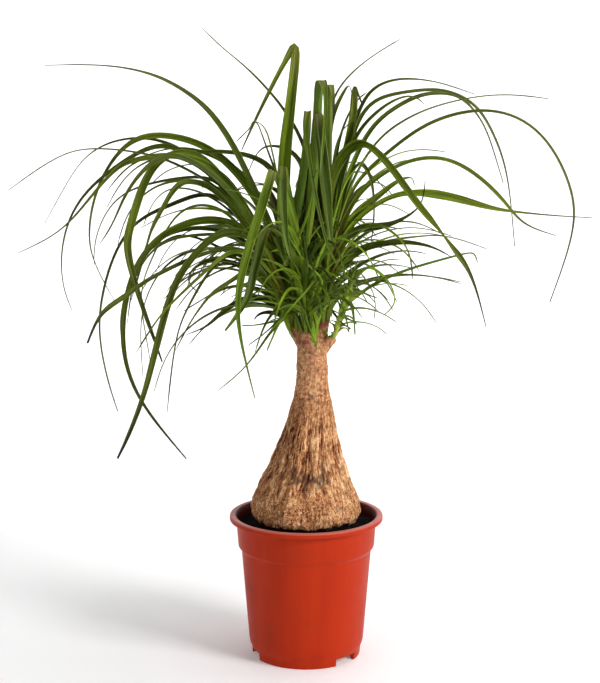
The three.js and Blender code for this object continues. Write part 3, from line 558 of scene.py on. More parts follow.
# a stub of bark: rings along the line from the neck to the seat, square to it, their radii evenly changing
def stubSkin(head, s):
    start, seat = np.array(head["start"]), np.array(head["seat"])
    share = np.linspace(0, 1, s["stubRings"])
    angle = anglesRound(s["stubSides"])
    radius = spread(head["radii"][:2], share)[:, None]
    places = ringsAlong(start, seat, share, radius, angle)
    stands, fields = barkDetail(places, places[..., 2], s)
    fields["blush"] = blushAt(places, s)
    rounded = np.sqrt(np.clip(1 - smoothStep(share, *s["stubRounded"]) ** 2, s["stubLeast"], 1))[:, None]
    rings = ringsAlong(start, seat, share, (radius + stands) * rounded, angle)
    return closedSkin(start, rings, seat, {field: (values[0, 0], values, values[-1, 0])
                                           for field, values in fields.items()})


def addTrunk(s, material):
    buried = np.arange(s["underside"] + s["firstRing"], s["buried"], s["buriedStep"])
    height = np.concatenate([buried, np.arange(s["buried"], trunkOutline[-1][0], s["heightStep"])])[:, None]
    angle = anglesRound(s["sides"])
    radius, lean = trunkAt(height)
    radius = radius + barkRelief(angle, height, s)
    level = np.repeat(height, s["sides"], 1)
    stands, fields = barkDetail(onRings(radius, angle, level), level, s)
    fields["blush"] = np.zeros(level.shape)
    radius = radius + stands * smoothStep(level, s["buried"], s["buried"] + s["emerges"])
    rings = onRings(radius, angle, level)
    rings[..., 0] += lean
    trunk = closedSkin([0, 0, s["underside"]], rings, [trunkOutline[-1][2], 0, s["crown"]],
                       {field: (0, values, 0) for field, values in fields.items()})
    addPiece("corky_trunk", "bark", "trunk", material,
             *joinSkins([trunk] + [stubSkin(head, s) for head in heads.values()]))


# corky bark of a swollen base: dry and matt, pale tan on the cork, brown in its fissures, with a fine grain
# of light and dark specks, a pinker and smoother neck, a few weathered grey-brown stains and a red blush on
# the stubs
barkFinish = {
    "shader": {"IOR": 1.4, "Roughness": 0.9, "Specular IOR Level": 0.2},
    "tones": [(0.0, "#341a10"), (0.2, "#6e3f28"), (0.4, "#9e653f"), (0.56, "#c08a5c"), (0.76, "#e0b487"),
              (1.0, "#f4d4ac")],
    # each pattern's size across in millimetres, how it is drawn out upwards, and how much it lightens or
    # darkens
    "strands": (1.5, 0.16, 1.15), "grain": (1.15, 0.85, 1.3),
    "flakes": (2.6, 0.7, 0.55), "patches": (14, 0.5, 0.3), "noise": {"Detail": 2, "Roughness": 0.5},
    "neckTint": "#d8a37c", "necked": {"From Min": 0.235, "From Max": 0.29, "To Max": 0.3},
    # the tint named soil is the near-black of the underside below its ragged line
    "stain": "#443026", "stained": 0.8, "blush": "#8e2c40", "blushed": 0.75, "soil": "#120d0a",
    "grainBump": {"Strength": 0.7, "Distance": 0.5 * mm}, "strandBump": {"Strength": 0.9, "Distance": 1 * mm},
}


def barkRecipe(tree, s):
    place = addNode(tree, "TexCoord", output="Object")
    toned, grainy, stranded, stain, soiled, blush, drumX, drumY = (
        addNode(tree, "Attribute", {"attribute_name": field}, output="Fac")
        for field in ("tone", "grainy", "stranded", "stain", "soiled", "blush", "drumX", "drumY"))
    height = addNode(tree, "SeparateXYZ", links={"Vector": place}, output="Z")
    drum = addNode(tree, "CombineXYZ", links={"X": drumX, "Y": drumY, "Z": height})
    # the mesh's own tone, plus strands, grain and patches, each about its middle value
    patterns = {}
    for pattern, source, fullness in (("strands", drum, stranded), ("grain", place, grainy),
                                      ("flakes", place, None), ("patches", drum, None)):
        size, upright, share = s[pattern]
        drawn = addNode(tree, "Mapping", {"Scale": (1, 1, upright)}, {"Vector": source})
        noise = addNode(tree, "TexNoise", {"Scale": 1 / (size * mm), **s["noise"]}, {"Vector": drawn})
        centred = addNode(tree, "Math", {"operation": "SUBTRACT", 1: 0.5}, {0: noise})
        if fullness:
            centred = addNode(tree, "Math", {"operation": "MULTIPLY"}, {0: centred, 1: fullness})
        toned = addNode(tree, "Math", {"operation": "MULTIPLY_ADD", 1: share}, {0: centred, 2: toned})
        patterns[pattern] = noise
    colour = addNode(tree, "ValToRGB", {"stops": s["tones"]}, {"Fac": toned})
    necked = addNode(tree, "MapRange", s["necked"], {"Value": height})
    stained = addNode(tree, "Math", {"operation": "MULTIPLY", 1: s["stained"]}, {0: stain})
    blushed = addNode(tree, "Math", {"operation": "MULTIPLY", 1: s["blushed"]}, {0: blush})
    # the tint named soil turns the underside nearly black below a ragged line
    for tint, share in (("neckTint", necked), ("stain", stained), ("blush", blushed), ("soil", soiled)):
        colour = addNode(tree, "Mix", {"data_type": "RGBA", 7: s[tint]}, {0: share, 6: colour})
    fine = addNode(tree, "Bump", s["grainBump"], {"Height": patterns["grain"]})
    bump = addNode(tree, "Bump", s["strandBump"], {"Height": patterns["strands"], "Normal": fine})
    return {"Base Color": colour, "Normal": bump}


addTrunk(trunkSettings, addMaterial("corky bark", barkFinish, barkRecipe))
print("trunk done")


# The peat

# it fills the pot: its outline as radius and height, then a lumpy top, and a cup round the trunk's base
peatSettings = {
    "wall": [(47.7, 9.3), (54.8, 17), (61.9, 107.7), (65, 111.7)], "top": 131, "brim": 66.5, "gap": 0.3,
    "sides": 320, "topRings": 44, "cupStep": 4, "lump": 1.5, "lumpSize": 13, "lumpSeed": 61,
    "crumb": 1.1, "crumbSize": 3.2, "crumbSeed": 71, "crumbSlice": 0.5, "crumbRise": 0.6,
    # the lumps die away at both edges as a power of a sine over slightly more than the way in
    "over": 1.02, "power": 0.4,
}


# a ring round the trunk's skin at a height, a gap away from it
def ringRound(angle, height, gap):
    radius, lean = trunkAt(height)
    return onRings(radius + barkRelief(angle, height, trunkSettings) + gap, angle, height) + [lean, 0, 0]


def addPeat(s, material):
    angle = anglesRound(s["sides"])
    walls = [onRings(radius, angle, height) for radius, height in s["wall"]]
    # the top runs in from the brim to the trunk's skin; its noise is a level slice
    share = np.linspace(0, 1, s["topRings"])[:, None]
    edges = onRings(s["brim"], angle, 0), ringRound(angle, s["top"], s["gap"])
    top = edges[0] * (1 - share[..., None]) + edges[1] * share[..., None]
    top[..., 2] = 0
    lumps = s["lump"] * layeredNoise(top / s["lumpSize"], s["lumpSeed"], 2)
    near = cellDistances(top / s["crumbSize"] + [0, 0, s["crumbSlice"]], s["crumbSeed"])
    inside = np.sin(math.pi * np.clip(share * s["over"], 0, 1)) ** s["power"]
    top[..., 2] = s["top"] + (lumps + s["crumb"] * (s["crumbRise"] - near)) * inside
    # the cup follows the trunk's skin down, a gap away, to its underside
    cup = [ringRound(angle, height, s["gap"]) - [0, 0, s["gap"]]
           for height in np.arange(s["top"] - s["cupStep"], trunkOutline[0][0], -s["cupStep"])]
    underside = trunkSettings["underside"] - s["gap"]
    addPiece("peat", "soil", "soil", material,
             *closedSkin([0, 0, s["wall"][0][1]], np.concatenate([walls, top, cup]), [0, 0, underside], {}))


# black peat with fibres: damp crumbs, nearly black, a few paler brown fibres and bits of bark
peatFinish = {
    "shader": {"Roughness": 0.95, "Specular IOR Level": 0.1},
    "tones": [(0.4, "#0b0806"), (0.62, "#17110d"), (0.72, "#46321f")],
    "crumbs": {"Scale": 700, "Detail": 6, "Roughness": 0.7}, "bump": {"Strength": 0.8, "Distance": 0.6 * mm},
}


def peatRecipe(tree, s):
    place = addNode(tree, "TexCoord", output="Object")
    crumbs = addNode(tree, "TexNoise", s["crumbs"], {"Vector": place})
    colour = addNode(tree, "ValToRGB", {"stops": s["tones"]}, {"Fac": crumbs})
    bump = addNode(tree, "Bump", s["bump"], {"Height": crumbs})
    return {"Base Color": colour, "Normal": bump}


addPeat(peatSettings, addMaterial("black peat", peatFinish, peatRecipe))
print("peat done")


# The leaves

# drawn from the front, as in the solids, with a few slimmer: each leaf's full width or its widths at
# the points, how far its face turns to the front (degrees, spread evenly from root to tip), its depth behind
# the pot's axis (likewise) and its path: across and up, where the eye sees it against the plane of the pot's
# axis
drawnLeaves = {
    "left": [
        [10, [60, 75, 25], [-3, -33, -78], [[-20, 384], [-31, 414], [-48, 452], [-67, 495], [-85, 523],
         [-102, 542], [-131, 560], [-154, 568], [-189, 575], [-245, 574]]],
        [[8, 12, 13, 12, 10, 9, 5, 4, 3, 2, 1], [88, 88, 80], [0, -3, -4, 6], [[-20, 380], [-22, 419],
         [-21, 476], [-18, 510], [-14, 542], [-10, 590], [-21, 575], [-34, 551], [-48, 523], [-54, 510],
         [-61, 495]]],
        [10, [50, 75, 40], [3, 38, 70], [[-21, 378], [-42, 443], [-72, 481], [-102, 503], [-147, 511],
         [-175, 497], [-200, 458], [-207, 418], [-205, 391], [-184, 351]]],
        [9, [50, 75, 40], [8, 53, 91], [[-20, 374], [-44, 444], [-53, 462], [-66, 478], [-88, 490],
         [-112, 497], [-136, 496], [-160, 486]]],
        [9, [60, 80, 60], [0, -12, -30], [[-21, 366], [-41, 410], [-62, 440], [-76, 457], [-89, 470],
         [-103, 481], [-122, 489], [-148, 490], [-172, 478], [-190, 455]]],
        [6, [40, 50, 20], [6, 68, 108], [[-20, 382], [-64, 444], [-107, 488], [-132, 502], [-158, 507],
         [-188, 502], [-210, 488], [-225, 468], [-249, 426]]],
        [5, [30, 30, 20], [-6, -45, -38], [[-20, 376], [-64, 440], [-91, 464], [-127, 484], [-155, 492],
         [-185, 496], [-209, 496], [-236, 490], [-283, 457]]],
        [8, [50, 65, 30], [1, 20, 23], [[-21, 372], [-60, 440], [-107, 489], [-134, 500], [-159, 493],
         [-193, 470], [-220, 443], [-234, 404], [-234, 366], [-225, 342]]],
        [10, [60, 70, 30], [-2, -24, -39], [[-21, 370], [-53, 434], [-85, 475], [-103, 485], [-130, 491],
         [-165, 485], [-183, 476], [-213, 440], [-237, 415], [-276, 397]]],
        [8, [60, 60, 60], [2, 12, 47], [[-19, 386], [-20, 440], [-28, 474], [-51, 490], [-85, 494],
         [-120, 492], [-148, 486], [-172, 471], [-190, 440]]],
        [9, [50, 65, 50], [-5, -50, -93], [[-21, 364], [-50, 425], [-85, 470], [-120, 490], [-138, 488],
         [-153, 478], [-173, 453], [-182, 428], [-197, 406]]],
        [[8, 9, 8, 6, 7, 8, 8, 8, 7, 5, 4, 2], [55, 75, 70, 30], [-1, -15, -51, -63], [[-21, 360],
         [-55, 430], [-90, 483], [-114, 494], [-138, 488], [-155, 465], [-166, 428], [-171, 412],
         [-170, 391], [-158, 348], [-148, 320], [-139, 292]]],
        [6, [40, 50, 30], [5, 48, 51], [[-21, 368], [-63, 443], [-85, 465], [-103, 470], [-136, 466],
         [-166, 458], [-187, 443], [-202, 412], [-203, 386]]],
        [6, [40, 50, 30], [1, -5, -17], [[-21, 365], [-60, 436], [-85, 460], [-109, 467], [-136, 464],
         [-156, 452], [-172, 432], [-180, 405]]],
        [8, [50, 70, 40], [-4, -41, -78], [[-21, 356], [-58, 425], [-90, 460], [-115, 466], [-126, 459],
         [-136, 441], [-144, 429], [-151, 410], [-158, 382], [-168, 352]]],
        [[5, 5, 5, 5, 5, 4.5, 4, 4, 3.5, 3, 2], [50, 60, 40, 20], [3, 19, 33, 33], [[-21, 362],
         [-55, 430], [-88, 453], [-109, 451], [-139, 438], [-164, 426], [-185, 394], [-197, 350],
         [-200, 315], [-191, 269], [-183, 243]]],
        [[8, 9, 8, 8, 7, 7, 6, 6, 6, 5, 4, 2], [60, 75, 50, 20], [-1, -14, -28, -39], [[-21, 352],
         [-36, 396], [-60, 423], [-95, 430], [-118, 424], [-136, 415], [-152, 400], [-168, 374],
         [-178, 323], [-171, 274], [-148, 235], [-117, 196]]],
        [6, [50, 60, 30], [3, 13, 17], [[-21, 348], [-34, 385], [-57, 408], [-82, 419], [-110, 421],
         [-132, 415], [-150, 402], [-166, 380], [-178, 345], [-179, 318], [-175, 300]]],
        [[9, 10, 9, 8, 7, 7, 7, 7, 6, 5, 4, 2], [60, 80, 75, 40], [-4, -46, -78, -94], [[-21, 344],
         [-34, 392], [-55, 415], [-80, 418], [-98, 406], [-117, 384], [-131, 358], [-143, 313],
         [-151, 284], [-157, 259], [-173, 218], [-184, 196]]],
        [6, [40, 75, 40], [-6, -76, -131], [[-20, 350], [-38, 388], [-66, 400], [-81, 394], [-102, 375],
         [-132, 347], [-147, 328], [-164, 301]]],
        [8, [30, 60, 60], [2, 23, 31], [[-21, 340], [-40, 372], [-64, 385], [-81, 390], [-95, 389],
         [-107, 383], [-113, 374], [-111, 366], [-103, 359]]],
        [5, [40, 60, 30], [5, 42, 58], [[-21, 346], [-45, 385], [-80, 402], [-109, 400], [-130, 389],
         [-146, 371], [-157, 345], [-160, 318], [-158, 276]]],
        [5, [40, 60, 40], [-2, -31, -60], [[-20, 342], [-40, 384], [-70, 398], [-85, 388], [-100, 370],
         [-112, 347], [-122, 328], [-129, 294], [-135, 242]]],
        [7, [60, 80, 30], [-4, -49, -81], [[-19, 340], [-34, 372], [-54, 382], [-64, 376], [-78, 367],
         [-91, 359], [-102, 344], [-112, 330], [-126, 303]]],
        [6, [30, 50, 30], [-1, -15, -38], [[-20, 338], [-42, 362], [-63, 366], [-83, 362], [-95, 355],
         [-118, 341]]],
        [10, [40, 70, 40], [2, 0, -4], [[-20, 334], [-33, 350], [-52, 355], [-71, 348], [-88, 333],
         [-97, 325], [-116, 318]]],
        [7, [50, 60], [-1, -6], [[-19, 332], [-29, 339], [-40, 340], [-47, 337], [-50, 333]]],
        [[6, 6, 5, 4, 4, 4, 4, 5, 5, 3, 2], [50, 75, 60], [-4, -60, -115], [[-21, 350], [-45, 392],
         [-70, 402], [-90, 399], [-113, 391], [-138, 379], [-155, 370], [-173, 356], [-191, 345],
         [-202, 332], [-211, 310]]],
        [5, [50, 60, 40], [2, -20, -40], [[-21, 360], [-60, 432], [-90, 462], [-110, 466], [-122, 460],
         [-131, 448], [-140, 432], [-147, 419], [-154, 402], [-158, 384], [-166, 358]]],
    ],
    "front": [
        [[9, 10, 10, 9, 9, 9, 8, 7, 5, 3, 1], [10, 30, 30, 40], [-16, -60, -120, -200], [[-3, 384],
         [-14, 425], [-25, 460], [-31, 475], [-37, 460], [-44, 438], [-56, 401], [-64, 370], [-67, 342],
         [-63, 308], [-50, 256]]],
        [[6, 8, 8, 8, 8, 8, 6, 3], [0, 10], [-15, -40, -70, -85], [[-3, 386], [-13, 430], [-20, 465],
         [-22, 479], [-22, 462], [-22, 440], [-20, 415], [-15, 392]]],
        [[8, 9, 9, 9, 9, 8, 6, 2], [10, 10, 20], [-20, -60, -100, -130], [[-3, 378], [-20, 405], [-35, 421],
         [-42, 408], [-48, 386], [-53, 362], [-60, 345], [-78, 322]]],
        [[7, 8, 8, 8, 6, 3], [0, 10], [-18, -50, -80], [[-2, 372], [-18, 405], [-29, 423], [-27, 410],
         [-22, 395], [-19, 385]]],
        [[7, 10, 10, 9, 9, 11, 5, 4, 3, 2], [0, 0], [-17, -26, -36, -46, -60], [[-2, 388], [4, 430],
         [9, 480], [11, 520], [12, 545], [14, 560], [18, 547], [18, 530], [16, 505], [13, 470]]],
        [[6, 9, 11, 11, 9, 8, 7, 5, 4, 3, 3, 2, 1], [0, 10], [-17, -24, -45, -75, -110], [[-4, 366],
         [-12, 392], [-12, 419], [-5, 450], [0, 486], [2, 530], [-1, 518], [0, 500], [5, 472], [14, 425],
         [22, 400], [30, 384], [48, 366]]],
        [[8, 10, 11, 10, 10, 11, 11, 8, 3], [0, 10], [-17, -30, -50, -70], [[-1, 388], [6, 450], [10, 500],
         [11, 529], [12, 512], [15, 490], [18, 462], [21, 432], [24, 405]]],
        [7, [30, 30, 20], [-15, -22, -40, -45], [[-1, 344], [-15, 338], [-24, 331], [-39, 315], [-56, 287],
         [-86, 263]]],
        [6, [30, 30], [-15, -24, -30], [[-1, 348], [-12, 345], [-23, 336], [-37, 321], [-57, 307]]],
        [6, [30, 30], [-15, -26, -34], [[0, 352], [-12, 349], [-24, 336], [-31, 318], [-38, 303]]],
        [6, [10, 10], [-17, -24, -26], [[-1, 345], [6, 343], [10, 332], [11, 322], [9, 302]]],
    ],
    "right": [
        [7.5, [60, 50, 20], [4, -10, -34], [[21, 394], [28, 440], [38, 490], [51, 536], [65, 554], [84, 561],
         [102, 561], [124, 559], [159, 547]]],
        [[6, 5.5, 5, 4, 4, 4, 4, 4.5, 4.5, 4, 3, 2, 1.5], [60, 60, 30], [4, 30, 54], [[21, 394],
         [30, 450], [42, 505], [57, 538], [81, 547], [109, 551], [128, 551], [148, 544], [164, 532],
         [176, 511], [187, 486], [194, 452], [199, 404]]],
        [[6, 5.5, 5, 4.5, 4.5, 4.5, 4, 4, 3, 2.5, 1.5], [60, 60, 30], [4, 46, 78], [[21, 392], [32, 450],
         [54, 507], [75, 529], [102, 545], [120, 548], [138, 547], [152, 539], [167, 521], [176, 498],
         [187, 464]]],
        [8, [60, 50, 20], [3, -18, -34], [[21, 390], [30, 450], [43, 500], [57, 521], [75, 537], [91, 545],
         [103, 545], [111, 538]]],
        [5, [40, 30, 20], [-1, -47, -95], [[22, 388], [38, 455], [63, 500], [85, 518], [111, 533], [148, 543],
         [187, 548], [228, 543]]],
        [[5, 4, 4, 4, 4, 4, 4, 4, 4, 4, 4, 3, 2], [60, 60, 40, 20], [3, 14, 22, 14], [[22, 386], [36, 445],
         [56, 474], [78, 493], [103, 513], [128, 525], [157, 532], [192, 530], [229, 506], [252, 458],
         [255, 433], [252, 404], [234, 350]]],
        [[6, 6, 5, 4, 4, 4, 4, 4, 4, 3, 2, 1], [60, 70, 70, 30], [2, -24, -41], [[22, 384], [40, 440],
         [61, 464], [85, 480], [110, 488], [131, 487], [149, 480], [169, 466], [187, 448], [199, 433],
         [212, 422], [238, 414]]],
        [[5, 5, 5, 5, 6, 9, 8, 5, 3, 2, 1], [60, 80, 80, 20], [3, 10, 20], [[22, 382], [38, 418],
         [58, 438], [81, 452], [100, 455], [121, 454], [149, 448], [176, 440], [194, 437], [231, 433],
         [272, 431]]],
        [[9, 14, 15, 12, 6, 7, 7, 7, 6, 2, 6, 3, 1], [60, 70, 70, 60, 30], [2, -20, -50, -75, -85],
         [[21, 388], [21, 455], [36, 489], [48, 499], [58, 501], [73, 488], [89, 468], [103, 448],
         [118, 430], [130, 416], [146, 394], [160, 374], [173, 326]]],
        [7, [60, 60, 40], [1, -20, -36], [[22, 386], [32, 430], [42, 468], [50, 482], [57, 478], [62, 468],
         [64, 452], [65, 433], [62, 408]]],
        [11, [50, 80, 70], [4, 4, -34], [[21, 366], [40, 390], [56, 402], [67, 405], [86, 408], [104, 407],
         [122, 403], [138, 394]]],
        [5, [30, 30, 20], [4, 30, 46], [[22, 370], [50, 400], [80, 409], [100, 412], [118, 414], [140, 413],
         [173, 401]]],
        [[8, 9, 9, 8, 5, 3, 2, 1, 1], [50, 80, 50], [3, -8, -24], [[22, 378], [40, 413], [52, 420],
         [67, 422], [82, 425], [96, 432], [106, 439], [112, 450], [113, 466]]],
        [10, [60, 60, 40], [4, 14, 22], [[22, 380], [40, 430], [63, 446], [76, 458], [88, 466], [99, 469],
         [103, 462]]],
        [5, [40, 40, 30], [3, -50, -82], [[22, 374], [45, 415], [66, 425], [78, 420], [93, 408], [100, 393],
         [102, 372]]],
        [[6, 8, 7, 7, 7, 4, 2], [0, 0], [3, -2, -14], [[21, 396], [21, 450], [22, 500], [22, 540], [23, 556],
         [25, 545], [26, 530]]],
        [[7, 10, 10, 9, 8, 7, 3, 2], [110, 120], [3, 0, -8, -16], [[21, 394], [26, 440], [34, 475],
         [39, 495], [44, 522], [46, 552], [50, 546], [53, 538]]],
        [8, [60, 60, 40], [5, 14, 20], [[21, 392], [19, 450], [21, 510], [26, 531], [34, 547], [40, 555],
         [43, 548]]],
    ],
    "back": [
        [6, [30, 40, 20], [21, 35, 60], [[5, 394], [7, 457], [-3, 503], [-21, 532], [-34, 549], [-59, 575],
         [-78, 589], [-98, 609]]],
        [5, [20, 20], [21, 40, 60], [[5, 392], [14, 460], [21, 520], [27, 549], [48, 572], [69, 587],
         [88, 598]]],
        [8, [30, 60, 40], [27, 42, 52], [[5, 392], [4, 430], [-2, 472], [-6, 484], [-14, 494], [-25, 498],
         [-38, 499], [-48, 491], [-56, 471]]],
        [5, [20, 30], [27, 40, 48], [[3, 390], [-13, 430], [-27, 468], [-39, 500], [-45, 519], [-48, 521]]],
    ],
    "side": [
        [5, [50, 60, 60], [-8, -15, -22], [[38, 346], [55, 360], [67, 368], [95, 381], [131, 391], [156, 398],
         [161, 396], [164, 388]]],
        [4, [40, 60, 30], [-9, -16, -20], [[45, 372], [54, 382], [63, 383], [71, 378], [80, 369], [85, 356],
         [84, 346], [74, 337]]],
        [4, [30, 40], [-9, -6, 2], [[44, 370], [50, 379], [58, 370], [64, 360], [67, 348], [65, 332]]],
        [6, [30, 30], [-9, -12, -14], [[42, 362], [48, 362], [58, 357], [68, 354]]],
        [5, [20, 20], [-9, -16, -18], [[40, 352], [44, 346], [46, 332], [47, 317]]],
        [5, [30, 30], [-8, -14], [[34, 336], [40, 333], [47, 331]]],
    ],
}

# finer leaves that only the finished plant has, drawn the same way; some end with their own tone, which on
# the dark back ones is painted shade
extraLeaves = {
    "left": [
        [4, [30, 30], [-3, 20, 40], [[-21, 366], [-50, 415], [-88, 452], [-124, 461], [-138, 453],
         [-147, 444], [-155, 424]]],
        [3, [30, 30], [0, -4, -8], [[-22, 440], [-34, 505], [-48, 522], [-54, 514], [-66, 503]]],
        [4, [30, 30], [-1, -14, -24], [[-18, 333], [-30, 331], [-43, 328], [-54, 327], [-62, 327]]],
        [[7, 9, 9, 8, 6, 4, 2], [20, 50, 60], [-5, -9, -14], [[-12, 316], [-17, 324], [-21, 334], [-25, 345],
         [-34, 360], [-48, 374], [-66, 384]], 1],
        [4, [40, 40], [4, 40, 60], [[-21, 350], [-70, 398], [-114, 415], [-128, 412], [-147, 402],
         [-156, 393], [-164, 376], [-169, 362]]],
        [3, [40, 40], [3, 30, 50], [[-21, 372], [-60, 452], [-80, 474], [-96, 482], [-118, 481], [-135, 474],
         [-146, 464]]],
        [5, [50, 60, 40], [0, -30, -55], [[-21, 345], [-40, 385], [-66, 412], [-88, 415], [-106, 414],
         [-123, 412], [-140, 405], [-153, 393], [-163, 375], [-168, 358], [-172, 330]]],
        [4, [50, 60, 40], [5, 20, 35], [[-21, 356], [-60, 425], [-92, 444], [-115, 440], [-130, 425],
         [-144, 399], [-153, 379], [-158, 362], [-158, 340], [-154, 316], [-151, 294]]],
        [4, [50, 60, 40], [3, 50, 80], [[-20, 340], [-40, 376], [-62, 392], [-86, 394], [-104, 388],
         [-120, 378], [-134, 360]]],
    ],
    "front": [
        [4, [10, 10], [-20, -50, -66], [[6, 352], [13, 362], [15, 371], [10, 378], [-4, 391], [-15, 410],
         [-23, 429]]],
        [6, [0, 10], [-20, -50], [[-4, 366], [-13, 380], [-12, 404], [-3, 420], [2, 436],
         [7, 458], [7, 482]]],
        [5, [10, 10], [-20, -60], [[0, 362], [10, 384], [13, 396], [22, 412], [27, 430], [34, 458], [45, 476],
         [62, 494]]],
        [5, [10, 10], [-18, -48], [[-6, 368], [-13, 382], [-4, 400], [8, 417], [20, 430], [32, 428]]],
        [3.5, [10, 10], [-20, -60, -84], [[2, 352], [9, 372], [-1, 358], [-14, 345], [-26, 329], [-34, 311],
         [-38, 302]]],
        [[3, 3, 2.5, 2, 1.4], [10, 10], [-20, -50, -70], [[-2, 376], [-5, 392], [-10, 405], [-17, 421],
         [-23, 431]], 0.9],
        [[5, 6, 6, 5, 4, 2], [0, 10], [-11, -17, -24], [[5, 308], [6, 315], [5, 324], [4, 336], [2, 350],
         [-4, 368]], 1],
        [[3, 3, 3, 2.5, 2, 1], [10, 10], [-16, -23, -18], [[-3, 350], [-2, 343], [0, 334], [3, 325], [7, 315],
         [10, 304]], 0.8],
    ],
    "back": [
        [[9, 11, 12, 12, 11, 6], [90, 90], [22, 12, 22], [[-3, 372], [-7, 410], [-4, 433], [-1, 457],
         [2, 480], [5, 501]], 0.02],
        [[8, 9, 10, 10, 9, 5], [90, 90], [22, 14, 22], [[7, 372], [12, 414], [11, 438], [11, 462], [11, 485],
         [12, 509]], 0.15],
        [[8, 10, 10, 7, 2], [90, 90], [22, 14, 24], [[-6, 372], [-18, 408], [-26, 433], [-32, 450],
         [-37, 462]], 0.15],
        [[8, 10, 10, 2], [90, 90], [22, 10, 22], [[-5, 372], [-14, 410], [-12, 430], [-8, 446]], 0.1],
    ],
    "right": [
        [4, [40, 40], [4, 20, 40], [[21, 392], [26, 480], [34, 514], [41, 531], [48, 542], [57, 549]]],
        [3.5, [30, 30], [4, -10, -20], [[22, 396], [24, 470], [28, 500], [34, 514], [42, 521], [47, 527]]],
        [3, [10, 10], [4, -30], [[22, 396], [26, 430], [29, 452], [30, 462]]],
        [3.5, [10, 10], [4, -36], [[22, 392], [29, 425], [33, 444], [34, 456]]],
        [3.5, [30, 30], [3, -10, -14], [[22, 345], [30, 334], [37, 327], [43, 324]]],
    ],
}

# how bright the drawn leaves are, where the photo's own are clearly dark or light (0 to 1), partly their own
# colour and partly painted shade and painted light; the others, and the leaves placed by rule, are drawn at
# random between a head's two values
drawnTones = {
    "left": [0.35, 0.64, 0.6, 0.25, 0.55, 0.1, 0.2, 0.35, 0.6, 0.4, 0.3, 0.55, 0.3, 0.45, 0.5, 0.1, 0.55, 0.2,
             0.35, 0.6, 0.15, 0.45, 0.3, 0.5, 0.5, 0.15, 0.05, 0.35, 0.4],
    "front": [0.55, 0.5, 0.35, 0.15, 0.5, 0.3, 0.1, 0.6, 0.55, 0.6, 0.8, 0.95, 0.9, 1, 0.75, 0.85],
    "right": [0.4, 0.35, 0.45, 0.5, 0.4, 0.4, 0.6, 0.65, 0.62, 0.45, 0.3, 0.55, 0.15, 0.6, 0.75, 0.6, 0.65,
              0.45, 0.1, 0.1, 0.9, 0.9, 0.2],
}
# the back head's low range is painted shade
toneRanges = {"left": (0, 0.8), "front": (0, 1), "right": (0.1, 1), "back": (0, 0.3), "side": (0.1, 0.9)}

# leaves placed by rule, so many a head, as in the solids: the compass directions that they fan across (0 is
# +X, 90 the back), how long and wide they are, and their slopes: at the start, of the inner and the outer
# ones, and at the end, of the stiffest and the limpest ones
ruledLeaves = [
    {"head": "back", "count": 34, "seed": 11, "fan": (50, 130), "long": (140, 208), "wide": (7, 11),
     "slope": (86, 38, -20, -62)},
    {"head": "left", "count": 12, "seed": 23, "fan": (118, 165), "long": (110, 200), "wide": (7, 10),
     "slope": (80, 30, -10, -60)},
    {"head": "front", "count": 20, "seed": 37, "fan": (230, 315), "long": (80, 170), "wide": (5, 9),
     "slope": (82, 35, 10, -75)},
    {"head": "right", "count": 12, "seed": 41, "fan": (22, 68), "long": (100, 180), "wide": (7, 10),
     "slope": (80, 30, -10, -55)},
    {"head": "side", "count": 7, "seed": 53, "fan": (-75, 10), "long": (40, 80), "wide": (4, 6),
     "slope": (75, 20, 0, -65)},
]

# leaf bases that clasp each head's core: how many, their length and width, where the lowest and the highest
# leave the core as a share of its height, and how far they lean out (degrees) at the root and at the tip
sheaths = {
    "left": {"count": 22, "seed": 61, "long": (45, 100), "wide": (5, 8), "roots": (-0.22, 0.7),
             "lean": (9, 95)},
    "front": {"count": 32, "seed": 67, "long": (40, 90), "wide": (3.2, 5), "roots": (-0.4, 0.7),
              "lean": (12, 105)},
    "right": {"count": 22, "seed": 71, "long": (45, 100), "wide": (5, 7.5), "roots": (-0.2, 0.7),
              "lean": (7, 80)},
    "back": {"count": 16, "seed": 73, "long": (50, 105), "wide": (7, 10), "roots": (-0.2, 0.7),
             "lean": (9, 85)},
    "side": {"count": 20, "seed": 79, "long": (12, 30), "wide": (3.5, 5.5), "roots": (-0.14, 0.95),
             "lean": (14, 105)},
}

# thin leaves placed by the same rule as the ruled ones, which only the finished plant has
thinLeaves = [
    {"head": "front", "count": 14, "seed": 83, "fan": (200, 340), "long": (50, 110), "wide": (3, 5),
     "slope": (84, 30, 20, -85)},
    {"head": "left", "count": 6, "seed": 89, "fan": (125, 245), "long": (60, 110), "wide": (4, 5.5),
     "slope": (84, 30, 10, -70)},
    {"head": "left", "count": 10, "seed": 97, "fan": (155, 205), "long": (120, 190), "wide": (4.5, 6.5),
     "slope": (72, 40, -60, -85)},
    {"head": "right", "count": 6, "seed": 101, "fan": (-25, 25), "long": (90, 150), "wide": (4.5, 6),
     "slope": (76, 45, -10, -75)},
]

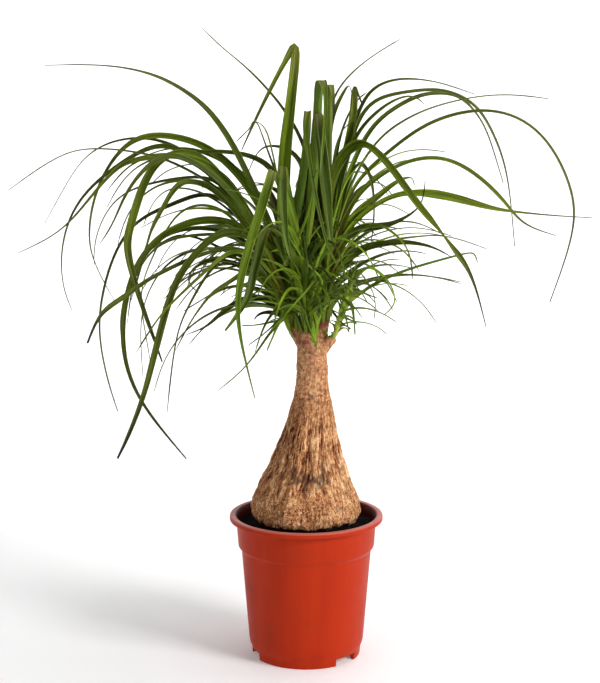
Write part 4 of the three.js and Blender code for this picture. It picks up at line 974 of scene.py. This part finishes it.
leafSettings = {
    "sheathPoints": 7, "sheathSunk": 3.4, "stubSunk": 0.9, "sheathWidths": (1, 1, 0.85, 0.6, 0.38, 0.16),
    "sheathScatter": 0.5, "sheathCompass": 0.12, "lowestLean": 1.15, "leanDrop": 0.6, "leastLean": 0.75,
    "leanPower": 1.4, "sheathTwist": 14,
    "rulePoints": 7, "golden": 0.618034, "compassScatter": 0.1, "slopeScatter": 10, "bend": (0.7, 1.6),
    "sway": 0.5, "twist": 70, "rootTwist": 0.2, "roots": (0.06, 0.86), "toneSteps": (0.12, 0.88),
    "opening": 0.7, "rootWidth": 0.6, "fullFrom": 0.18, "taper": 0.8, "tipWidth": 1.6, "point": (0.06, 0.35),
    "foldRounding": 0.22, "foldReach": 4, "foldedBack": 0.1, "acrossLeast": 0.5, "creaseLeast": 0.4,
    "thickness": 0.8, "thinning": 0.15, "aboveLine": 0.2, "channel": (1.05, 0.8), "midrib": 0.1,
    "towardsMidrib": 0.8, "ripple": 0.05, "ripples": 3.3, "rippleTone": 7, "slim": 0.96, "ends": (0.5, 0.3),
    "stepsEach": 6, "bell": 0.55, "sharpTurn": 0.45, "foldKept": (0.4, 1.6), "sides": 14,
    "coreBulge": 1.5, "coreSlim": 0.72, "knottedSlim": 0.9, "coreRings": 31, "coreSides": 40,
    "ribs": (0.5, 3.5, 2), "coreFoot": (0.7, 0.15), "coreAlong": (0.05, 0.15),
    "coreTone": 0.3, "knottedTone": 0.8, "toneSeed": (97, 5),
}


# the solids' run of numbers from 0 to 1
def numbersFrom(seed):
    state = seed
    while True:
        state = (state * 1664525 + 1013904223) % 2 ** 32
        yield state / 2 ** 32


# a value part of the way from a pair's first to its second
def between(pair, share):
    return pair[0] + (pair[1] - pair[0]) * share


# a drawn leaf's points, moved along the eye's lines to their depths
def drawnPoints(depths, path, s):
    path = np.array(path, float)
    depth = spread(depths, np.linspace(0, 1, len(path)) ** s["opening"])
    reach = (depth + cameraSettings["distance"]) / cameraSettings["distance"]
    eye = cameraSettings["height"]
    return np.column_stack([path[:, 0] * reach, depth, eye + (path[:, 1] - eye) * reach])


# rule leaves: each leaves the core at its own height and bends over evenly from its first slope to its last
def ruledPoints(rule, s):
    draw = numbersFrom(rule["seed"])
    seat, top = (np.array(heads[rule["head"]][end]) for end in ("seat", "top"))
    share = (np.arange(1, s["rulePoints"]) - 0.5) / (s["rulePoints"] - 1)
    leaves = []
    for index in range(rule["count"]):
        outer = (index + 0.5) / rule["count"]
        around = (index * s["golden"] + s["compassScatter"] * next(draw)) % 1
        compass = math.radians(between(rule["fan"], around))
        stride = between(rule["long"], next(draw)) / (s["rulePoints"] - 1)
        first = between(rule["slope"][:2], outer) + s["slopeScatter"] * (next(draw) - 0.5)
        final = between(rule["slope"][2:], next(draw))
        bend = between(s["bend"], next(draw))
        sway = s["sway"] * (next(draw) - 0.5)
        width = between(rule["wide"], next(draw))
        twist = s["twist"] * (next(draw) - 0.5)
        rise = np.radians(between((first, final), share ** bend))
        steps = stride * onRings(np.cos(rise), compass + sway * share, np.sin(rise))
        root = top + (seat - top) * between(s["roots"], outer)
        leaves.append((width, [twist * s["rootTwist"], twist],
                       root + np.vstack([[0, 0, 0], np.cumsum(steps, 0)])))
    return leaves


# a smooth line through given points: a cubic between each two, whose slopes come from their neighbours,
# then evened out by a bell-shaped average over about one step each way, but not where the line folds sharply.
# It also gives the places of those folds.
def smoothLine(points, s):
    reach = s["stepsEach"]
    knots = np.vstack([2 * points[0] - points[1], points, 2 * points[-1] - points[-2]])
    place = np.linspace(0, len(points) - 1, (len(points) - 1) * reach + 1)
    low = np.minimum(place.astype(int), len(points) - 2)
    t = (place - low)[:, None]
    a, b, c, d = (knots[low + k] for k in range(4))
    line = 0.5 * (2 * b + (c - a) * t + (2 * a - 5 * b + 4 * c - d) * t ** 2
                  + (3 * b - a - 3 * c + d) * t ** 3)
    bell = np.exp(-0.5 * (np.arange(-reach, reach + 1) / (reach * s["bell"])) ** 2)
    bell /= bell.sum()
    # past its ends the line is turned about them
    before, after = 2 * line[0] - line[reach:0:-1], 2 * line[-1] - line[-2:-2 - reach:-1]
    padded = np.vstack([before, line, after])
    even = np.column_stack([np.convolve(padded[:, axis], bell, "valid") for axis in range(3)])
    way = unit(np.diff(points, axis=0))
    folded = np.flatnonzero((way[:-1] * way[1:]).sum(1) < s["sharpTurn"]) + 1
    keep = np.zeros(len(line))
    for fold in folded:
        keep = np.maximum(keep, 1 - smoothStep(np.abs(place - fold), *s["foldKept"]))
    return even + (line - even) * keep[:, None], folded * reach


# one blade along a smooth line. Its sections are flat ovals bent into a V: across = cos(a), with its points
# drawn in to the midrib by a power, and up = channel * (distance from the midrib - a half) + thickness / 2 *
# sin(a), turned to the line's face, in a skin with a pole at each end. Where one width is given, it is slim
# at the root, soon full, and narrows by a power of what is left to the tip; a list is spread evenly from
# root to tip. Either way it stays as wide as a tail, and the tail's last bit runs to a point.
def bladeSkin(width, turns, points, tone, s):
    line, folds = smoothLine(points, s)
    share = np.linspace(0, 1, len(line))
    tangent = unit(np.gradient(line, axis=0))
    heading = line[-1] - line[0]
    level = np.array([-heading[1], heading[0], 0]) / math.hypot(heading[0], heading[1])
    side = unit(level - (tangent @ level)[:, None] * tangent)
    turn = np.radians(spread(turns, share))[:, None]
    side = side * np.cos(turn) + np.cross(tangent, side) * np.sin(turn)
    face = np.cross(tangent, side)
    if np.ndim(width):
        half = spread(width, share) / 2
    else:
        half = width / 2 * (s["rootWidth"] + (1 - s["rootWidth"]) * np.minimum(share / s["fullFrom"], 1))
        half = half * (1 - share) ** s["taper"]
    pointed = spread((s["point"][1], 1), np.minimum((1 - share) / s["point"][0], 1))
    half = np.maximum(half * s["slim"], s["tipWidth"] / 2 * pointed)
    thickness = s["thickness"] * (1 - s["thinning"] * share)
    channel = half * spread(s["channel"], share)
    folded = np.zeros(len(line))
    for fold in folds:
        creaseBlade(line, fold, side, face, half, s)
        away = np.abs(np.arange(len(line)) - fold)
        half *= 1 - s["foldRounding"] * np.exp(-away)
        channel = channel * smoothStep(away, -1, s["stepsEach"])
        folded = np.maximum(folded, np.exp(-(away / s["foldReach"]) ** 2))
    ripple = s["ripple"] * half * np.sin(2 * math.pi * (s["ripples"] * share + tone * s["rippleTone"]))
    angle = anglesRound(s["sides"])
    across, sine = np.cos(angle) * np.abs(np.cos(angle)) ** s["towardsMidrib"], np.sin(angle)
    up = (channel[:, None] * (np.hypot(across, s["midrib"]) - 0.5) + thickness[:, None] / 2 * sine
          + ripple[:, None] * across + (thickness * s["aboveLine"])[:, None])
    rings = (line[:, None] + (half[:, None] * across)[..., None] * side[:, None]
             + up[..., None] * face[:, None])
    return closedSkin(line[0] - tangent[0] * s["ends"][0], rings, line[-1] + tangent[-1] * s["ends"][1], {
        "along": (0, share[:, None], 1), "across": (0, across, 0), "upper": (0, sine, 0),
        "fold": (0, folded[:, None], 0), "tone": (tone, tone, tone)})


# folds a blade flat at one ring, as paper folds: the ring lies along the crease, halfway between the two
# directions of the line, faces outwards there, and past it the blade shows its other face. A line that turns
# in the blade's own plane isn't folded.
def creaseBlade(line, fold, side, face, half, s):
    before, after = unit(line[fold] - line[fold - 1]), unit(line[fold + 1] - line[fold])
    both = before + after
    crease = side[fold - 1] if np.linalg.norm(both) < s["foldedBack"] else unit(both)
    crease = crease if crease @ side[fold - 1] > 0 else -crease
    if crease @ side[fold - 1] <= s["acrossLeast"]:
        return
    outward = before - after
    outward -= (outward @ crease) * crease
    side[fold], face[fold] = crease, unit(outward)
    half[fold] /= max(np.linalg.norm(np.cross(crease, before)), s["creaseLeast"])
    if side[fold + 1] @ crease < 0:
        side[fold + 1:] *= -1
        face[fold + 1:] *= -1


# the core of leaf bases: rings square to its line, bulging by a half sine, ribbed by the bases packed round
# it
def coreSkin(head, s):
    seat, top = np.array(head["seat"]), np.array(head["top"])
    share = np.linspace(0, 1, s["coreRings"])[:, None]
    angle = anglesRound(s["coreSides"])
    depth, count, drift = s["ribs"]
    foot, reach = s["coreFoot"]
    radius = spread(head["radii"][1:], share) + s["coreBulge"] * np.sin(math.pi * share)
    radius = radius - depth * np.abs(np.sin(count * angle + drift * share))
    radius = radius * (foot + (1 - foot) * smoothStep(share, 0, reach))
    knots, waist = head.get("knots", (0, 0))
    if knots:
        radius = radius * (s["knottedSlim"] * (1 - waist * np.abs(np.cos(math.pi * knots * share))))
    else:
        radius = radius * s["coreSlim"]
    root, end = s["coreAlong"]
    tone = s["knottedTone"] if knots else s["coreTone"]
    return closedSkin(
        seat, ringsAlong(seat, top, share[:, 0], radius, angle), top + unit(top - seat) * head["radii"][2],
        {"along": (root, between(s["coreAlong"], share), end), "across": (0, 0, 0), "upper": (1, 1, 1),
         "fold": (0, 0, 0), "tone": (tone, tone, tone)})


# sheaths: each starts just inside the core's skin, or inside the stub below it, a golden angle on from the
# last, climbs along the core and leans out more and more, the lowest ones most
def sheathLeaves(head, rule, s):
    draw = numbersFrom(rule["seed"])
    start, seat, top = (np.array(head[end]) for end in ("start", "seat", "top"))
    along = unit(top - seat)
    across, away = squareTo(along)
    share = np.arange(s["sheathPoints"] - 1) / (s["sheathPoints"] - 2)
    least, most = rule["lean"]
    leaves = []
    for index in range(rule["count"]):
        height = spread(rule["roots"], index / (rule["count"] - 1))
        turn = 2 * math.pi * (index * s["golden"] + s["sheathCompass"] * (next(draw) - 0.5))
        out = math.cos(turn) * across + math.sin(turn) * away
        sunk, way = (s["sheathSunk"], top - seat) if height > 0 else (s["stubSunk"], 2 * (seat - start))
        radius = spread(head["radii"][1:], min(max(height, 0), 1)) - sunk
        stride = spread(rule["long"], next(draw)) / (s["sheathPoints"] - 1)
        final = most * (s["lowestLean"] - s["leanDrop"] * index / rule["count"])
        final *= s["leastLean"] + s["sheathScatter"] * next(draw)
        lean = np.radians(between((least, final), share ** s["leanPower"]))[:, None]
        steps = stride * (np.cos(lean) * along + np.sin(lean) * out)
        widths = [spread(rule["wide"], next(draw)) * part for part in s["sheathWidths"]]
        leaves.append((widths, [0, s["sheathTwist"] * (next(draw) - 0.5)],
                       seat + way * height + out * radius + np.vstack([[0, 0, 0], np.cumsum(steps, 0)])))
    return leaves


def addHead(name, headName, node, slot, material, s):
    skins = [coreSkin(heads[headName], s)]
    # the run of tones starts from how long the head's name is
    draw = numbersFrom(len(headName) * s["toneSeed"][0] + s["toneSeed"][1])
    tones = (float(spread(toneRanges[headName], smoothStep(share, *s["toneSteps"]))) for share in draw)
    known = iter(drawnTones.get(headName, []))
    for width, turns, depths, path, *given in drawnLeaves[headName] + extraLeaves.get(headName, []):
        points = drawnPoints(depths, path, s)
        sign = 1 if points[-1, 0] > points[0, 0] else -1
        tone = given[0] if given else next(known, None)
        tone = next(tones) if tone is None else tone
        skins.append(bladeSkin(width, np.array(turns) * sign, points, tone, s))
    placed = sheathLeaves(heads[headName], sheaths[headName], s)
    for rule in ruledLeaves + thinLeaves:
        if rule["head"] == headName:
            placed += ruledPoints(rule, s)
    skins += [bladeSkin(width, turns, points, next(tones), s) for width, turns, points in placed]
    addPiece(name, slot, node, material, *joinSkins(skins))


# strap leaves: leathery and slightly waxy, deep green above and paler below, yellow-green at the base, with
# fine veins along the blade and tips that dry to straw. The veins are drawn about 1 mm apart, twice the real
# spacing, so that they show.
leafFinish = {
    "shader": {"Roughness": 0.42, "IOR": 1.45, "Specular IOR Level": 0.16},
    "length": [(0.0, "#6e5428"), (0.05, "#857a2c"), (0.1, "#8a962a"), (0.16, "#6d861c"), (0.26, "#46590c"),
               (0.7, "#434c12"), (0.88, "#36381a"), (1.0, "#2a281e")],
    # each leaf's tone, from shaded to bright, partly its own colour and partly painted shade and painted
    # light, and how much of it shows from root to tip
    "own": [(0.0, "#0e1202"), (0.5, "#43540a"), (1.0, "#92b01a")],
    "owned": [(0.07, "#000000"), (0.22, "#e6e6e6"), (0.74, "#e6e6e6"), (0.96, "#000000")],
    # the outer half of a leaf is older and more olive, and a sharp fold dries to khaki
    "outer": "#6a672c", "aged": {"From Min": 0.2, "From Max": 0.8}, "outerShare": 0.45,
    "fold": "#6e6138", "dried": 0.45,
    # blotches drawn out along the leaf, partly its own mottling and partly painted light and shade on its
    # halves, and veins
    "drawnOut": (3.4, 6, 60), "mottleAndShade": {"Scale": 1.0, "Detail": 4},
    "light": {"From Min": 0.3, "From Max": 0.7, "To Min": 0.34, "To Max": 1.7},
    "veins": 34, "veinDepth": 0.18,
    # its underside, and its thin pale margins
    "under": "#5f7226", "facingDown": {"From Min": 0.2, "From Max": -0.3, "To Max": 0.5},
    "edge": "#9aa83c", "margin": {"From Min": 0.84, "From Max": 1, "To Max": 0.6},
    "bump": {"Strength": 0.25, "Distance": 0.2 * mm},
}
# the leaves that lean out of the middle are fresher: greener to their tips and underneath
innerFinish = dict(
    leafFinish, length=leafFinish["length"][:5] + [(0.8, "#4c6414"), (0.93, "#56681f"), (1.0, "#56602c")],
    under="#5c7a24", outer="#5c7426", outerShare=0.2, fold="#766c3e")
# young leaves are yellower, reddish where they leave the stem, with fewer and fainter veins
youngFinish = dict(
    leafFinish, shader={"Roughness": 0.44, "IOR": 1.45, "Specular IOR Level": 0.2},
    length=[(0.0, "#96573a"), (0.03, "#b4b852"), (0.11, "#9cb43a"), (0.25, "#6c8c1c"), (0.8, "#4a6410"),
            (0.93, "#50521c"), (1.0, "#463a26")],
    own=[(0.0, "#263804"), (0.5, "#527212"), (1.0, "#86a81c")], under="#748836", fold="#76703c",
    outer="#62662a", outerShare=0.3, edge="#a4b848", veins=20, veinDepth=0.12)


def leafRecipe(tree, s):
    along, across, upper, tone, fold = (
        addNode(tree, "Attribute", {"attribute_name": field}, output="Fac")
        for field in ("along", "across", "upper", "tone", "fold"))
    length = addNode(tree, "ValToRGB", {"stops": s["length"]}, {"Fac": along})
    own = addNode(tree, "ValToRGB", {"stops": s["own"]}, {"Fac": tone})
    owned = addNode(tree, "ValToRGB", {"stops": s["owned"]}, {"Fac": along})
    colour = addNode(tree, "Mix", {"data_type": "RGBA"}, {0: owned, 6: length, 7: own})
    aged = addNode(tree, "MapRange", {**s["aged"], "To Max": s["outerShare"]}, {"Value": along})
    aged = addNode(tree, "Math", {"operation": "MULTIPLY"}, {0: aged, 1: owned})
    dried = addNode(tree, "Math", {"operation": "MULTIPLY", 1: s["dried"]}, {0: fold})
    for tint, share in (("outer", aged), ("fold", dried)):
        colour = addNode(tree, "Mix", {"data_type": "RGBA", 7: s[tint]}, {0: share, 6: colour})
    place = addNode(tree, "CombineXYZ", links={"X": across, "Y": along, "Z": tone})
    drawnOut = addNode(tree, "Mapping", {"Scale": s["drawnOut"]}, {"Vector": place})
    mottleAndShade = addNode(tree, "TexNoise", s["mottleAndShade"], {"Vector": drawnOut})
    # the blotches scale the colour up and down: mottling, and painted light and shade
    light = addNode(tree, "MapRange", s["light"], {"Value": mottleAndShade})
    wave = addNode(tree, "Math", {"operation": "MULTIPLY", 1: s["veins"]}, {0: across})
    wave = addNode(tree, "Math", {"operation": "SINE"}, {0: wave})
    veins = addNode(tree, "MapRange", {"From Min": -1, "From Max": 1, "To Min": 1 - s["veinDepth"],
                                       "To Max": 1 + s["veinDepth"]}, {"Value": wave})
    both = addNode(tree, "Math", {"operation": "MULTIPLY"}, {0: light, 1: veins})
    colour = addNode(tree, "VectorMath", {"operation": "SCALE"}, {"Vector": colour, "Scale": both})
    under = addNode(tree, "MapRange", s["facingDown"], {"Value": upper})
    outside = addNode(tree, "Math", {"operation": "ABSOLUTE"}, {0: across})
    margin = addNode(tree, "MapRange", s["margin"], {"Value": outside})
    margin = addNode(tree, "Math", {"operation": "MULTIPLY"}, {0: margin, 1: owned})
    for tint, share in (("under", under), ("edge", margin)):
        colour = addNode(tree, "Mix", {"data_type": "RGBA", 7: s[tint]}, {0: share, 6: colour})
    bump = addNode(tree, "Bump", s["bump"], {"Height": wave})
    return {"Base Color": colour, "Normal": bump}


leaf = addMaterial("strap leaf", leafFinish, leafRecipe)
inner = addMaterial("inner strap leaf", innerFinish, leafRecipe)
young = addMaterial("young leaf", youngFinish, leafRecipe)
addHead("leaves_left", "left", "head_left", "leaf", leaf, leafSettings)
addHead("leaves_front", "front", "head_front", "leaf", inner, leafSettings)
addHead("leaves_right", "right", "head_right", "leaf", leaf, leafSettings)
addHead("leaves_back", "back", "head_back", "leaf", leaf, leafSettings)
addHead("leaves_side", "side", "side_shoot", "young_leaf", young, leafSettings)
print("leaves done")
